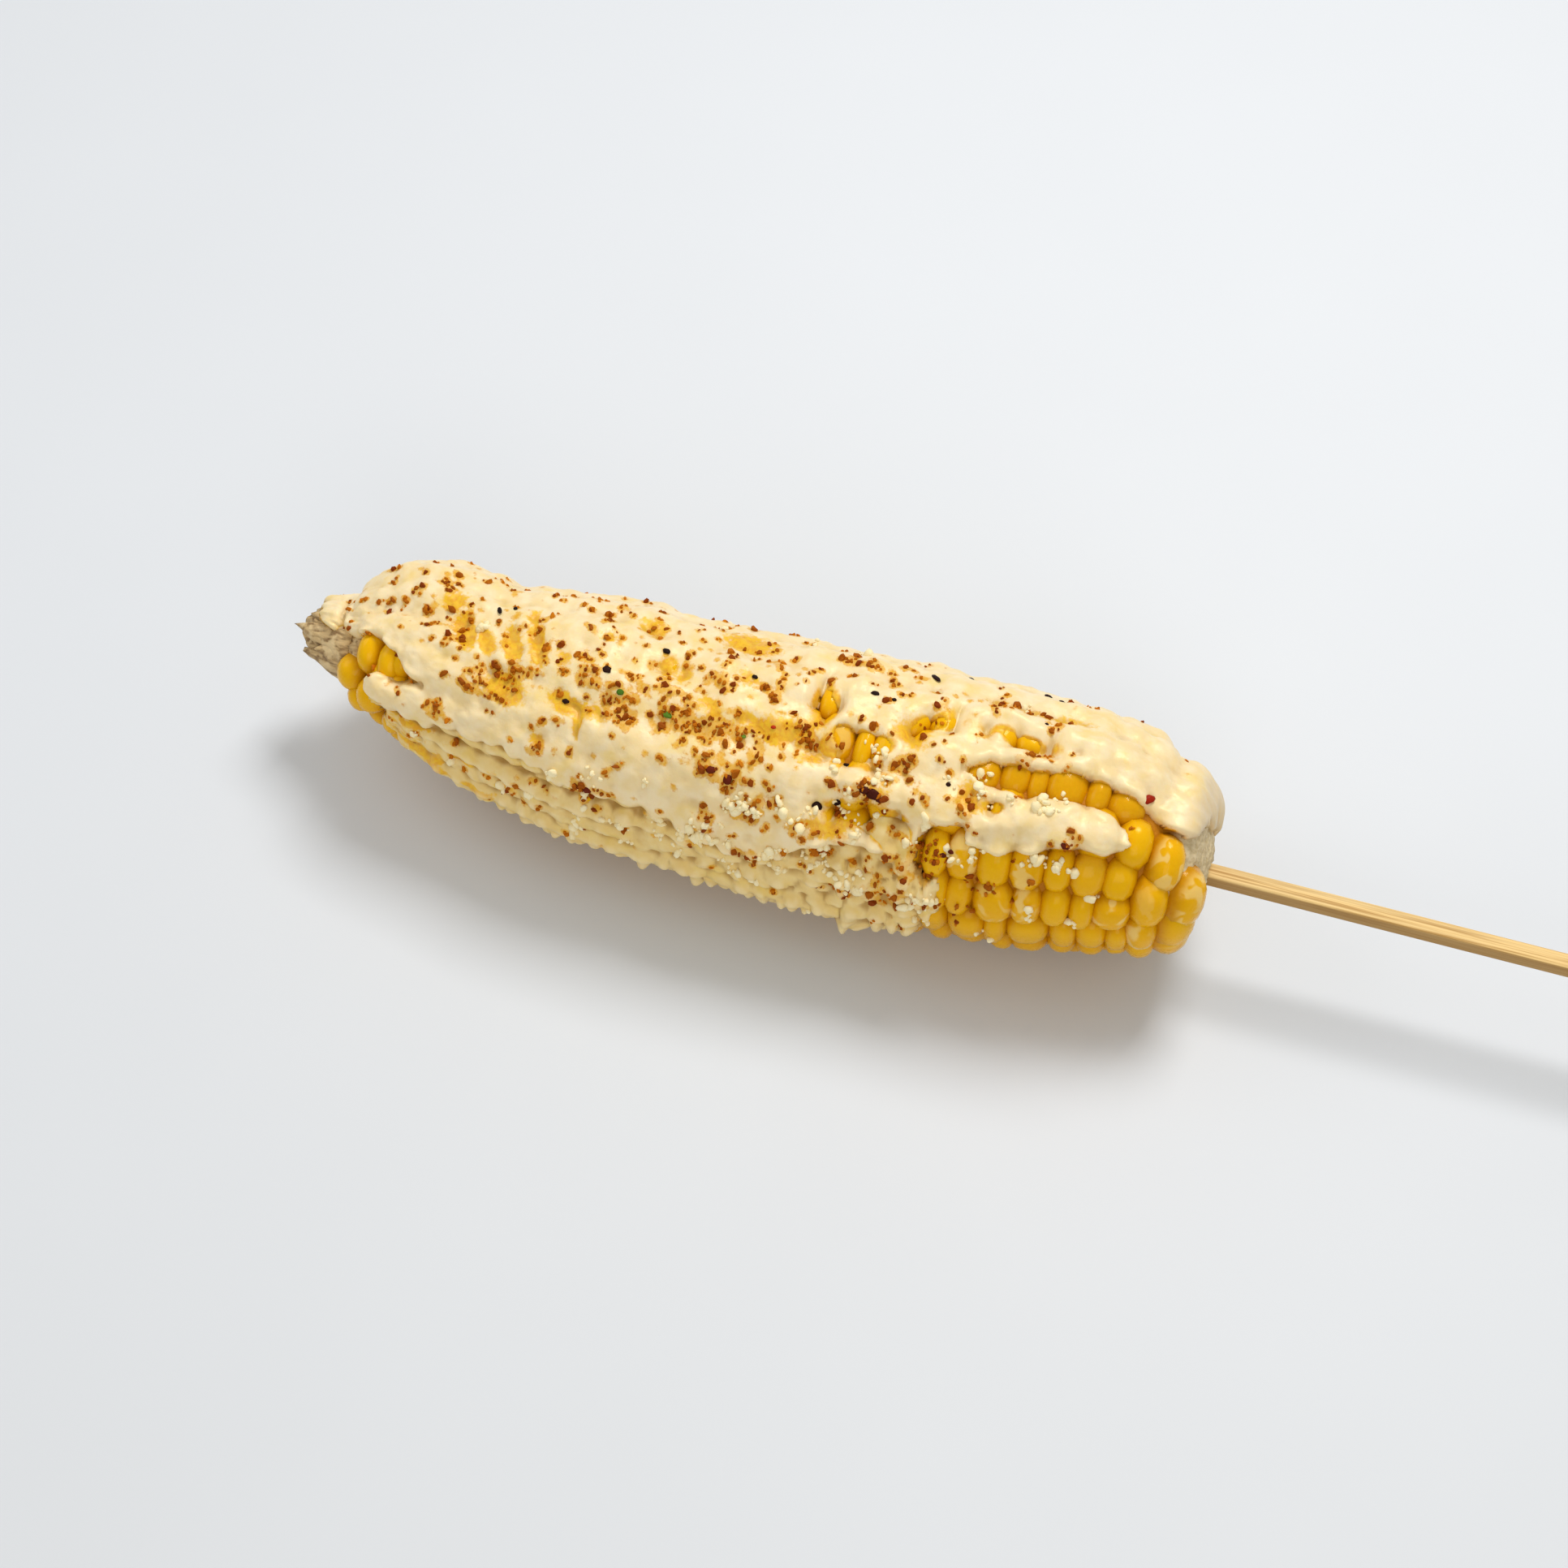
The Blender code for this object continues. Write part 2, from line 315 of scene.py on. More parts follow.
class Ear:
    """The ear's coordinates: run along its profile, angle round it, height over it."""

    def __init__(self):
        along = np.concatenate(([0.0], np.linspace(0.0, EAR_LENGTH, 1600)))
        radius = np.concatenate(([0.0], crown_profile(along[1:])))
        run = np.concatenate(([0.0], np.cumsum(np.hypot(np.diff(along), np.diff(radius)))))
        self.runs = np.linspace(0.0, run[-1], 900)
        step = self.runs[1]
        self.along = self.soften(np.interp(self.runs, run, along), step)
        self.radius = self.soften(np.interp(self.runs, run, radius), step)
        slope_x, slope_r = np.gradient(self.along, step), np.gradient(self.radius, step)
        length = np.hypot(slope_x, slope_r)
        self.slope_x, self.slope_r = slope_x / length, slope_r / length
        self.length = run[-1]

    @staticmethod
    def soften(values, step, width=1.3):
        """Round off the profile's corners but keep its ends."""
        reach = int(3 * width / step)
        taps = np.exp(-0.5 * (np.arange(-reach, reach + 1) * step / width) ** 2)
        taps /= taps.sum()
        head = 2 * values[0] - values[reach:0:-1]
        tail = 2 * values[-1] - values[-2:-reach - 2:-1]
        return np.convolve(np.concatenate((head, values, tail)), taps, mode="valid")

    def run_at(self, along):
        """Run along the profile at a distance from the tip."""
        return np.interp(along, self.along, self.runs)

    def at(self, run):
        """Distance from the tip, radius and slope at a run."""
        names = (self.along, self.radius, self.slope_x, self.slope_r)
        return [np.interp(run, self.runs, values) for values in names]

    def point(self, along, angle, reach):
        """Points in mm at a distance from the tip, an angle and a distance off the core."""
        bend = np.clip(1 - along / BEND_LENGTH, 0, 1) ** 2
        lean = sum(size * bump_at(along, centre, width) for size, centre, width in LEANS)
        y = AXIS_Y + BEND_BACK * bend - LEAN_Y * lean - reach * np.sin(angle)
        z = AXIS_Z + BEND_RISE * bend - LEAN_Z * lean + reach * np.cos(angle)
        z = np.maximum(z, FLOOR_GAP)
        return np.stack(np.broadcast_arrays(TIP_X + along, y, z), axis=-1)

    def place(self, run, angle, height):
        """Points in mm, for arrays of run, angle in radians and height."""
        along, radius, slope_x, slope_r = self.at(run)
        reach = np.maximum(radius + slope_x * height, 0.0)
        return self.point(along - slope_r * height, angle, reach)

    def frame_at(self, run, angle):
        """Rotation whose X runs along the ear and whose Z points outward."""
        _, _, slope_x, slope_r = self.at(run)
        sine, cosine = math.sin(angle), math.cos(angle)
        forward = Vector((slope_x, -slope_r * sine, slope_r * cosine)).normalized()
        outward = Vector((-slope_r, -slope_x * sine, slope_x * cosine)).normalized()
        return Matrix((forward, outward.cross(forward), outward)).transposed()


# Big kernels that end the rows at the butt: distance, angle, half length,
# half width, lift and tone.
END_KERNELS = (
    (167.3, 31, 3.6, 5.0, 0.6, 0.35), (173.9, 37, 3.6, 5.6, 1.2, 0.93),
    (172.4, 65, 3.7, 5.6, 1.0, 0.86), (178.0, 62, 4.6, 6.4, 2.7, 0.93),
    (171.9, 91, 3.3, 5.2, 0.8, 0.95), (177.4, 88, 4.4, 6.0, 2.2, 0.5),
    (171.9, 114, 3.3, 5.2, 0.6, 0.3), (177.0, 113, 4.2, 5.8, 1.9, 0.88),
)
END_TILTS = (0.0, -0.22, 0.12, -0.1, 0.1, 0.0, 0.1, 0.0)

# Where the rows' kernels stop and the separately placed ones begin.
NEAR_SIDE = (20.0, 125.0)
COVERED_SIDE = -62.0
LAST_NEAR_JOINT = 169.3
LAST_FAR_JOINT = 168.6
LAST_KERNEL = 175.5
BARE_BUTT = (165.5, 20, 40)
BARE_TIP = (21.5, 20, 106)
# Where the first row starts to sit lower and take painted shade.
SHADED_FROM = 133.0

# The kernels that show at the tip, in the same order.
TIP_KERNELS = (
    (17.3, 33, 2.8, 4.6, 1.3, 0.2), (22.2, 36, 2.9, 4.8, 0.9, 0.4), (21.2, 53, 2.8, 4.2, 0.7, 0.5),
    (13.2, 70, 3.6, 4.0, 1.6, 0.3), (18.6, 77, 3.2, 4.2, 1.4, 0.6), (15.5, 96, 3.2, 3.8, 1.2, 0.4),
)


def make_kernels(ear, settings):
    """One entry a kernel: run, angle, half sizes, lift, tone (-1 for painted shade) and shape."""
    draw = np.random.default_rng(settings.seed)
    start, end = ear.run_at(KERNELS_START + 1.0), ear.run_at(KERNELS_END)
    kernels = []
    for row in range(settings.rows):
        base = FIRST_ROW + 360.0 / settings.rows * row
        facing = (base + 180.0) % 360.0 - 180.0
        near = NEAR_SIDE[0] < facing < NEAR_SIDE[1]
        joint = LAST_NEAR_JOINT if near else LAST_FAR_JOINT
        shift = draw.uniform(-0.12, 0.12) if near else draw.uniform(-0.5, 0.5)
        shares = (np.arange(settings.per_row + 1) + shift) / settings.per_row
        shares += draw.uniform(-0.0055, 0.0055, shares.size)
        bounds = start + (end - start) * (0.84 * shares + 0.16 * shares**2)
        if near:
            last = ear.run_at(LAST_NEAR_JOINT) + draw.uniform(-0.7, 0.7)
            bounds += last - bounds[np.argmin(np.abs(bounds - last))]
        for low, high in zip(bounds, bounds[1:]):
            run = (low + high) / 2
            along, radius, _, _ = ear.at(run)
            if radius < 6.0 or run < start - 1.0 or along > LAST_KERNEL:
                continue
            if along > joint and COVERED_SIDE < facing < NEAR_SIDE[1]:
                continue
            if along > BARE_BUTT[0] and BARE_BUTT[1] < facing < BARE_BUTT[2]:
                continue
            if along < BARE_TIP[0] and BARE_TIP[1] < facing < BARE_TIP[2]:
                continue
            # The first row near the butt sits lower under the cream and gets a tone of -1, which the
            # kernel material turns into painted shade.
            shaded = row == 0 and along > SHADED_FROM
            kernels.append({
                "run": run,
                "angle": math.radians(base + row_sway(along) + draw.uniform(-1.1, 1.1)),
                "long": (high - low) / 2 * draw.uniform(1.13, 1.21),
                "wide": math.pi * radius / settings.rows * draw.uniform(1.13, 1.21),
                "cap": settings.cap_height / MM * min(1.0, 0.45 + radius / 36.0),
                "lift": draw.normal(0.0, 0.22) - (0.8 if shaded else 0.0),
                "tone": -1.0 if shaded else draw.uniform(0.0, 1.0),
                "shape": int(draw.integers(0, 3)),
                "tilt": draw.normal(0.0, 0.05, 3),
            })
    spins = (*END_TILTS, *(0.0,) * len(TIP_KERNELS))
    for large, spin in zip((*END_KERNELS, *TIP_KERNELS), spins):
        along, angle, half_long, half_wide, lift, tone = large
        kernels.append({
            "run": ear.run_at(along), "angle": math.radians(angle), "long": half_long,
            "wide": half_wide, "cap": settings.cap_height / MM * 1.1, "lift": lift,
            "tone": tone, "shape": 0, "tilt": (0.0, 0.0, spin),
        })
    return kernels


# The thick blanket's outline: distance from the tip in mm, angle in degrees.
BLANKET = (
    (3.5, -60), (4.0, -15), (5.0, 8), (6.3, 21), (8.0, 25), (9.0, 15), (10.4, 21),
    (12.5, 24.5), (15.5, 24), (17.5, 21), (20.5, 23.5), (24.5, 27.5), (27, 36), (29.8, 42),
    (27.5, 46), (24.5, 49.5), (21.5, 46), (19.6, 52), (19.2, 61), (21, 69), (26, 71),
    (30, 69), (33, 70), (37, 63), (44, 63.5), (50, 62), (56, 64), (62, 69), (70, 72),
    (80, 73), (90, 76.5), (99, 79), (106, 75), (111, 66), (117, 62), (124, 61.5), (129, 57),
    (130.5, 43), (136, 41.5), (138, 47.5), (141, 50.5), (145, 48.5), (150, 46.5),
    (153.5, 42), (157, 40.5), (161, 40.5), (164.3, 37.5), (165.4, 32), (164.3, 26),
    (160.5, 21.5), (156.5, 19.5), (150, 20.5), (146.5, 22), (143.5, 19.5), (138, 19.5),
    (135, 15.5), (138, 9.5), (144, 7), (150, 5.8), (157, 6), (163, 7.5), (167, 10.5),
    (170, 12.5), (172.5, 16), (174.6, 18), (176.6, 10), (177.6, 0), (178.6, -20),
    (179.4, -50), (179.0, -80), (177.0, -104), (168, -112), (150, -106), (136, -116),
    (118, -109), (100, -119), (84, -110), (66, -117), (50, -108), (34, -114), (20, -104),
    (10, -96),
)

# Openings in the blanket: distance, angle, half length, half width, turn and
# how much the cream thins towards them.
WINDOWS = (
    (115.0, 15.5, 5.4, 2.7, 5, 0.45),
    (106.4, -1.0, 1.3, 2.8, -8, 0.8),
    (125.6, -1.0, 4.0, 1.5, -38, 0.8),
    (142.5, -5.6, 4.4, 1.0, 3, 0.7),
    (118.6, 46.5, 5.6, 2.3, 4, 0.75),
    (125.0, 53.5, 3.2, 2.0, 40, 0.75),
    (141.5, 28.4, 1.6, 0.9, 0, 0.6),
    (113.5, 23.5, 3.6, 0.9, 8, 0.8),
)

# Folds and dips of the blanket: height, distance, reach, angle, reach round it.
FOLDS = (
    (0.8, 152.0, 13.0, 33, 5.0), (0.8, 25.0, 7.0, 59, 5.5), (0.5, 140.0, 22.0, -40, 12.0),
    (0.9, 80.0, 22.0, 45, 4.5), (-1.1, 92.0, 15.0, 58, 1.9),
)

# Thin stretches where the kernels' crowns shine through: distance, angle,
# half length, half width, turn and strength.
THIN_SPOTS = (
    (140, 10, 4.0, 1.1, -12, 0.75), (120, 33, 3.6, 1.3, 8, 0.55), (27, 84, 6.0, 1.6, 0, 0.9),
    (40, 96, 8.0, 1.5, 0, 0.9), (58, 104, 6.0, 1.4, 0, 0.8), (70, 93, 4.0, 1.1, 0, 0.6),
    (36.4, 5.0, 2.2, 4.6, -22, 1.6), (41.4, 7.0, 1.6, 4.4, -22, 1.5),
    (46.4, 7.0, 1.8, 4.4, -24, 1.4), (51.0, 3.0, 1.9, 5.6, -24, 1.5),
    (48.2, 32.0, 4.0, 3.0, 6, 1.5), (60.6, 30.0, 4.6, 1.9, 8, 1.4), (62.9, 36.0, 0.9, 2.8, -10, 1.3),
    (76.5, 0.0, 1.8, 2.6, -20, 1.1), (80.0, 1.5, 1.4, 2.4, -20, 1.0), (70.0, -22.0, 3.0, 2.4, 0, 1.0),
    (88.5, -29.0, 6.0, 3.4, 0, 1.0), (99.0, 18.0, 5.4, 2.2, 4, 1.3), (86.0, 15.0, 4.0, 2.0, 10, 0.9),
    (93.0, 16.0, 2.0, 2.0, 0, 0.9), (106.0, 8.0, 2.4, 4.0, 0, 0.9), (123.0, 6.0, 3.5, 4.0, -30, 1.0),
    (106.5, 27.0, 3.0, 1.6, 0, 0.8), (92.0, -2.0, 3.0, 2.0, 20, 0.8), (66.0, 30.0, 3.0, 1.6, 0, 0.7),
    (137.0, 27.0, 3.4, 2.4, 10, 1.0), (150.0, -22.0, 5.0, 1.8, 0, 0.7), (112.5, 54.0, 5.0, 2.2, 0, 1.0),
    (33.0, -13.0, 3.0, 3.0, 0, 0.9), (57.0, 50.0, 2.0, 1.4, 0, 0.9), (22.5, 44.0, 2.6, 1.8, 20, 1.2),
    (64.0, -6.0, 2.4, 1.6, -20, 0.7), (48.0, -10.0, 1.4, 2.2, 0, 1.0), (57.0, 8.0, 1.8, 2.4, -20, 0.8),
)

# The thin coat over the lower kernels.
FILM = (
    (19.5, 52), (28, 40), (60, 40), (98, 42), (106, 53), (117.5, 54), (121, 45),
    (128, 46), (130.5, 60), (134.5, 61), (135.5, 78), (133.5, 88),
    (131, 97), (132, 108), (127, 119), (118, 127), (106, 119), (95, 128), (84, 121),
    (72, 128), (60, 117), (50, 122), (40, 110), (31, 112), (25, 96), (21, 86), (20, 70),
)

# The coat's frayed patches on the back and at the butt's dome.
BACK_FILM = (
    (14, -88), (40, -92), (90, -95), (140, -94), (168, -95), (170, -121), (150, -128),
    (128, -120), (104, -131), (80, -121), (58, -127), (36, -118), (18, -108),
)

# A lump of curd on the coat (distance, angle, half sizes) and a hanging drip.
CURD = (130.0, 77.0, 4.6, 5.2)
DRIP = (117.5, 114)

# Rows of drips on the thin coat: angle, and whether they are loose ones.
SHINGLES = (
    (63, False), (75, False), (87, False), (99, False), (111, False), (69, True), (81, True),
    (93, True), (105, True), (-88, False), (-98, True), (-110, False), (-121, True),
)
SHINGLES_START, SHINGLES_END = 17.0, 172.0
TIP_SHINGLES_END = 74.0
SHINGLES_SEED = 31


# Unevenness: size of its features in mm, seed and octaves.
BLANKET_WARP, BLANKET_WARP_SIDE = (4.5, 40), (4.5, 50)
BLANKET_SWELLS, BLANKET_LUMPS = (11.0, 60, 2), (3.4, 70, 3)
FILM_WARP, FILM_WARP_SIDE = (3.2, 80), (3.2, 90)
FILM_LUMPS, CURD_LUMPS, FILM_STREAKS = (1.8, 100, 2), (1.6, 105, 2), (3.0, 160, 2)
COB_FIBRE, TIP_LUMPS, BUTT_LUMPS = (1.0, 210, 3), (2.2, 220), (2.0, 230)


def spot(along, across, centre, angle, half_long, half_wide, turn=0.0):
    """Rough distance inside an ellipse on the unrolled ear, in mm."""
    x, y = along - centre, across - on_roll(angle)
    c, s = math.cos(math.radians(turn)), math.sin(math.radians(turn))
    u, v = (x * c + y * s) / half_long, (y * c - x * s) / half_wide
    return (1 - np.hypot(u, v)) * min(half_long, half_wide)


def rounded_edge(distance, width):
    """Rises from 0 at an edge like the quarter of a circle."""
    t = np.clip(distance / width, 0, 1)
    return np.sqrt(1 - (1 - t) ** 2)


class Surfaces:
    """Heights of kernels, blanket and film over the crown profile, on one grid."""

    def __init__(self, ear, kernels, cream):
        self.ear = ear
        step = cream.grid / MM
        self.step = step
        self.runs = np.arange(1.0, ear.length - 0.6, step)
        count = int(2 * math.pi * ROLL_RADIUS / step)
        self.angles = np.linspace(-math.pi, math.pi, count, endpoint=False)
        run, angle = np.meshgrid(self.runs, self.angles, indexing="ij")
        self.run, self.angle = run, angle
        self.along, self.radius, _, _ = ear.at(run)
        self.across = angle * ROLL_RADIUS
        self.kernel = self.kernel_heights(kernels)
        self.envelope = blur(self.kernel, 1.7 / step, 1.7 / step)
        self.soft = blur(self.kernel, 0.5 / step, 0.5 / step)
        self.shape_blanket(cream)
        self.shape_film(cream)
        self.top = self.kernel.copy()
        for height, inside in self.coats():
            self.top = np.where(inside, np.maximum(self.top, height), self.top)

    def coats(self):
        """Each coat's height and where it lies."""
        return (
            (self.blanket, self.blanket_inside),
            (self.film, self.film_inside),
            (self.back, self.back_inside),
        )

    def kernel_heights(self, kernels):
        """Upper surface of all kernels; between them, the cob's surface."""
        low = -3.2 * smooth_step(self.radius, 5.0, 16.0)
        past = smooth_step(self.along, 170.0, 173.0)
        field = low * (1 - past) - 0.2
        for kernel in kernels:
            near = np.abs(self.runs - kernel["run"]) < kernel["long"]
            rows = np.nonzero(near)[0]
            if not rows.size:
                continue
            cut = slice(rows[0], rows[-1] + 1)
            radius = self.radius[rows[0], 0]
            turn = (self.angle[cut] - kernel["angle"] + math.pi) % (2 * math.pi) - math.pi
            side = turn * self.radius[cut]
            u = np.abs(self.run[cut] - kernel["run"]) / kernel["long"]
            v = np.abs(side) / kernel["wide"]
            level = 1 - u**CAP_POWER - v**CAP_POWER
            rise = kernel["cap"] * np.maximum(level, 0) ** (1 / CAP_ROOT)
            height = kernel["lift"] - kernel["cap"] + rise + side**2 / (2 * radius)
            field[cut] = np.where(level > 0, np.maximum(field[cut], height), field[cut])
        return field

    def shape_blanket(self, cream):
        """The thick cream: smooth, rounded at its lips, thin or open in places."""
        s, w = self.along, self.across
        warp = value_noise(s, w, *BLANKET_WARP)
        warp_side = value_noise(s, w, *BLANKET_WARP_SIDE)
        edge = outline_distance(BLANKET, s + 0.7 * warp, w + 0.7 * warp_side)
        depth = cream.blanket_depth / MM * (1 + 0.26 * value_noise(s, w, *BLANKET_SWELLS))
        depth = depth + 0.32 * value_noise(s, w, *BLANKET_LUMPS)
        # Heaped up on the back of the tip, thinner over the butt.
        depth += 4.2 * bump_at(s, 24.0, 13.0) * smooth_step(-w, -4.0, 17.0)
        depth -= 0.45 * smooth_step(s, 168.0, 176.0)
        for height, centre, reach, angle, breadth in FOLDS:
            depth += height * bump_at(s, centre, reach) * bump_at(w, on_roll(angle), breadth)
        self.thin = np.zeros(s.shape)
        for centre, angle, half_long, half_wide, turn, strength in THIN_SPOTS:
            inside = spot(s + 0.9 * warp, w + 0.9 * warp_side, centre, angle,
                          half_long, half_wide, turn)
            fading = strength * np.exp(-(1 - inside / min(half_long, half_wide)) ** 2)
            depth = depth - 0.8 * fading
            self.thin = np.maximum(self.thin, fading)
        for centre, angle, half_long, half_wide, turn, thinning in WINDOWS:
            hole = spot(s + 0.8 * warp, w + 0.8 * warp_side, centre, angle,
                        half_long, half_wide, turn)
            depth = depth * (1 - thinning * (1 - smooth_step(-hole, 0.0, 3.0)))
            edge = np.minimum(edge, -hole)
        # A crease across the tip, lips rounded off, and less depth at the very tip.
        tip = smooth_step(s, 2.0, 16.0)
        crease = bump_at(s, 9.6 + 0.05 * w, 0.7) * smooth_step(w, on_roll(-45), on_roll(-10))
        rim = rounded_edge(edge, 1.7)
        hug = 0.93 * smooth_step(edge, 0.3, 2.6)
        base = self.soft * (1 - hug) + self.envelope * hug
        depth = np.maximum(depth, 0.35) * rim * (0.55 + 0.45 * tip) - 1.5 * crease
        self.blanket = np.maximum(base + depth, self.kernel + 0.10 * rim - 0.3 * (edge < 0.1))
        self.blanket_inside = edge > -0.2

    def scales(self):
        """Overlapping drips: shingles under each row of kernels and loose ones between."""
        draw = np.random.default_rng(SHINGLES_SEED)
        field = np.zeros(self.run.shape)
        for turn, loose in SHINGLES:
            centre = SHINGLES_START
            while centre < SHINGLES_END:
                if loose:
                    centre += draw.uniform(2.6, 5.0) + 40.0 * (centre < TIP_SHINGLES_END)
                    half, lift = draw.uniform(1.0, 2.2), draw.uniform(0.5, 1.6)
                elif centre < TIP_SHINGLES_END:
                    centre += draw.uniform(1.7, 2.9)
                    half, lift = draw.uniform(1.9, 3.0), draw.uniform(1.2, 1.7)
                else:
                    centre += draw.uniform(2.2, 3.8)
                    half, lift = draw.uniform(1.4, 2.6), draw.uniform(0.7, 1.8)
                up, down = 4.6, draw.uniform(0.5, 1.4)
                if turn > 100:
                    half, lift, down = 0.72 * half, 1.35 * lift, 0.7
                spread = 3.0 if centre > TIP_SHINGLES_END else 1.3
                wander = draw.uniform(-spread, spread)
                middle = on_roll(turn + row_sway(centre) + wander)
                near = np.nonzero(np.abs(self.along[:, 0] - centre) < half)[0]
                if not near.size:
                    continue
                cut = slice(near[0], near[-1] + 1)
                side = (self.across[cut] - middle) * math.copysign(1.0, turn)
                lobe = np.sqrt(np.maximum(1 - ((self.along[cut] - centre) / half) ** 2, 0))
                rising = smooth_step(side, -up, 0.0)
                falling = np.sqrt(np.maximum(1 - (side / down) ** 2, 0))
                shape = lift * lobe * np.where(side < 0, rising, falling)
                field[cut] = np.maximum(field[cut], shape)
        return field

    def shape_film(self, cream):
        """The coat on the lower kernels: scaly, with ragged drips at its lower edge."""
        s, w = self.along, self.across
        warp = value_noise(s, w, *FILM_WARP)
        warp_side = value_noise(s, w, *FILM_WARP_SIDE)
        scales = self.scales() * (0.35 + 0.65 * smooth_step(s, 26.0, 50.0))
        base = 0.6 * blur(self.kernel, 0.8 / self.step, 0.7 / self.step) + 0.4 * self.envelope
        depth = cream.film_depth / MM - 0.2 + scales + 0.10 * value_noise(s, w, *FILM_LUMPS)
        curd = spot(s + warp, w + warp_side, *CURD)
        lumps = 0.8 + 0.35 * value_noise(s, w, *CURD_LUMPS)
        depth += 0.9 * smooth_step(curd, 0.0, 1.2) * lumps
        depth += 2.4 * bump_at(s, DRIP[0], 1.5) * bump_at(w, on_roll(DRIP[1]), 3.0)
        # The lower edge hangs off the kernels in the ear's middle.
        hang = smooth_step(s, 84.0, 106.0) * (1 - smooth_step(s, 126.0, 134.0))
        depth += 1.3 * hang * smooth_step(w, on_roll(78), on_roll(104))
        # Yellow streaks show through near the tip.
        bare = 1 - smooth_step(s, 44.0, 62.0)
        streaks = value_noise(s * 0.6, w, *FILM_STREAKS)
        self.film_thin = bare * smooth_step(streaks, 0.0, 0.5) + bump_at(s, 26.0, 9.0) * 0.4
        self.film_thin *= 1.2 - 0.5 * np.clip(scales, 0, 1)
        edge = outline_distance(FILM, s + 1.1 * warp, w + 1.6 * warp_side - 2.6 * scales)
        back = outline_distance(BACK_FILM, s + warp, w + 1.6 * warp_side + 2.6 * scales)
        for name, gap in (("film", edge), ("back", back)):
            rim = rounded_edge(gap, 1.0)
            height = self.soft * (1 - rim) + base * rim + depth * rim
            height = np.maximum(height, self.kernel + 0.22 * rim) - 0.3 * (gap < 0.05)
            setattr(self, name, height)
            setattr(self, name + "_inside", gap > -0.2)

    def sample(self, field, run, angle):
        """A field's values at single points."""
        i = (run - self.runs[0]) / self.step
        j = (angle + math.pi) / (2 * math.pi) * self.angles.size
        i = np.clip(i, 0, self.runs.size - 2)
        i0, j0 = np.floor(i).astype(int), np.floor(j).astype(int)
        fi, fj = i - i0, j - j0
        wrap = self.angles.size
        low = field[i0, j0 % wrap] * (1 - fj) + field[i0, (j0 + 1) % wrap] * fj
        high = field[i0 + 1, j0 % wrap] * (1 - fj) + field[i0 + 1, (j0 + 1) % wrap] * fj
        return low * (1 - fi) + high * fi


# Clusters of what is sprinkled on: distance, angle, spread along and round in
# mm, and share of the grains.
CHILI_CLUSTERS = (
    (31, -9, 3.5, 4.0, 5), (36, 14, 2.0, 1.2, 3), (45, 25, 4.0, 1.6, 8), (42, 35, 2.0, 1.4, 6),
    (51, 20, 2.0, 1.4, 3), (58, 53, 1.4, 1.0, 3), (35, 53, 1.4, 1.4, 4), (61, 17, 1.6, 1.2, 3),
    (66, 15, 2.4, 2.2, 6), (71, 17, 1.6, 1.4, 4), (71.5, 29, 2.0, 1.6, 8), (67, 66, 1.8, 1.0, 5),
    (78, 12, 2.0, 1.8, 4), (81, 25, 2.8, 1.4, 5), (87, 21, 4.2, 2.0, 9), (88, 3, 1.6, 1.2, 4),
    (90, 40, 3.2, 1.6, 8), (93.5, 42, 1.2, 1.4, 4), (96, 27, 1.6, 2.0, 4), (98, 57, 2.2, 1.4, 6),
    (101, 48, 1.2, 1.0, 4), (90, 62, 1.4, 0.8, 2), (99.5, 74, 1.2, 2.2, 4), (105.5, 16, 1.4, 1.4, 4),
    (108, -27, 3.2, 1.0, 4), (115, -29, 3.0, 1.2, 4), (119, 36, 2.0, 1.2, 9), (112, 67, 1.0, 0.8, 2),
    (110, 57, 3.6, 0.8, 4), (122, 24, 2.4, 1.6, 4), (134, 55, 1.8, 1.2, 6), (137, 32, 1.2, 1.4, 3),
    (148, -17, 1.6, 1.2, 3), (141, -23, 3.0, 0.8, 3), (155, 39, 0.9, 0.8, 2), (146, 3, 2.4, 1.0, 3),
    (129, 66, 2.4, 1.2, 4), (124, 86, 0.9, 2.0, 3), (143, 66, 3.4, 1.0, 4), (138, 84, 3.0, 2.0, 4),
    (60, 4, 26.0, 11.0, 52), (118, 30, 14.0, 13.0, 22), (70, -22, 36.0, 9.0, 60),
    (100, 56, 24.0, 10.0, 22), (140, -12, 18.0, 9.0, 12), (90, 20, 24.0, 12.0, 30),
    (100, -70, 45.0, 14.0, 16), (22, -12, 8.0, 9.0, 8), (32, 76, 5.0, 3.0, 4),
    (125, 58, 3.0, 2.5, 8), (132, 55, 1.6, 1.4, 7), (128, 78, 5.0, 4.0, 7),
    (50, 84, 7.0, 3.5, 5), (66, 96, 9.0, 3.5, 4),
)

CHEESE_CLUSTERS = (
    (118, 48, 4.0, 1.8, 8), (132, 80, 3.6, 3.0, 7), (146, 76, 5.0, 4.0, 10), (140, 54, 2.6, 1.6, 7),
    (155, 50, 2.2, 1.2, 4), (114, 22, 3.0, 1.4, 5), (148, 24, 4.0, 1.4, 6), (86, 71, 2.6, 0.8, 4),
    (96, 53, 2.0, 0.8, 4), (106, 54, 2.0, 1.0, 3), (68, 58, 1.0, 0.6, 2), (115, 75, 6.0, 2.0, 6),
    (127, 30, 6.0, 6.0, 5), (100, 72, 12.0, 4.0, 6), (154, 92, 8.0, 3.0, 3), (60, 84, 16.0, 3.0, 4),
    (92, 84, 24.0, 5.0, 22), (90, -50, 45.0, 16.0, 8),
)


# Stains whose grains have dissolved, and each clump's grains and spread.
STAIN_COUNT = 650
CHILI_CLUMP = (2, 0.42)
CHEESE_CLUMP = (4, 0.75)


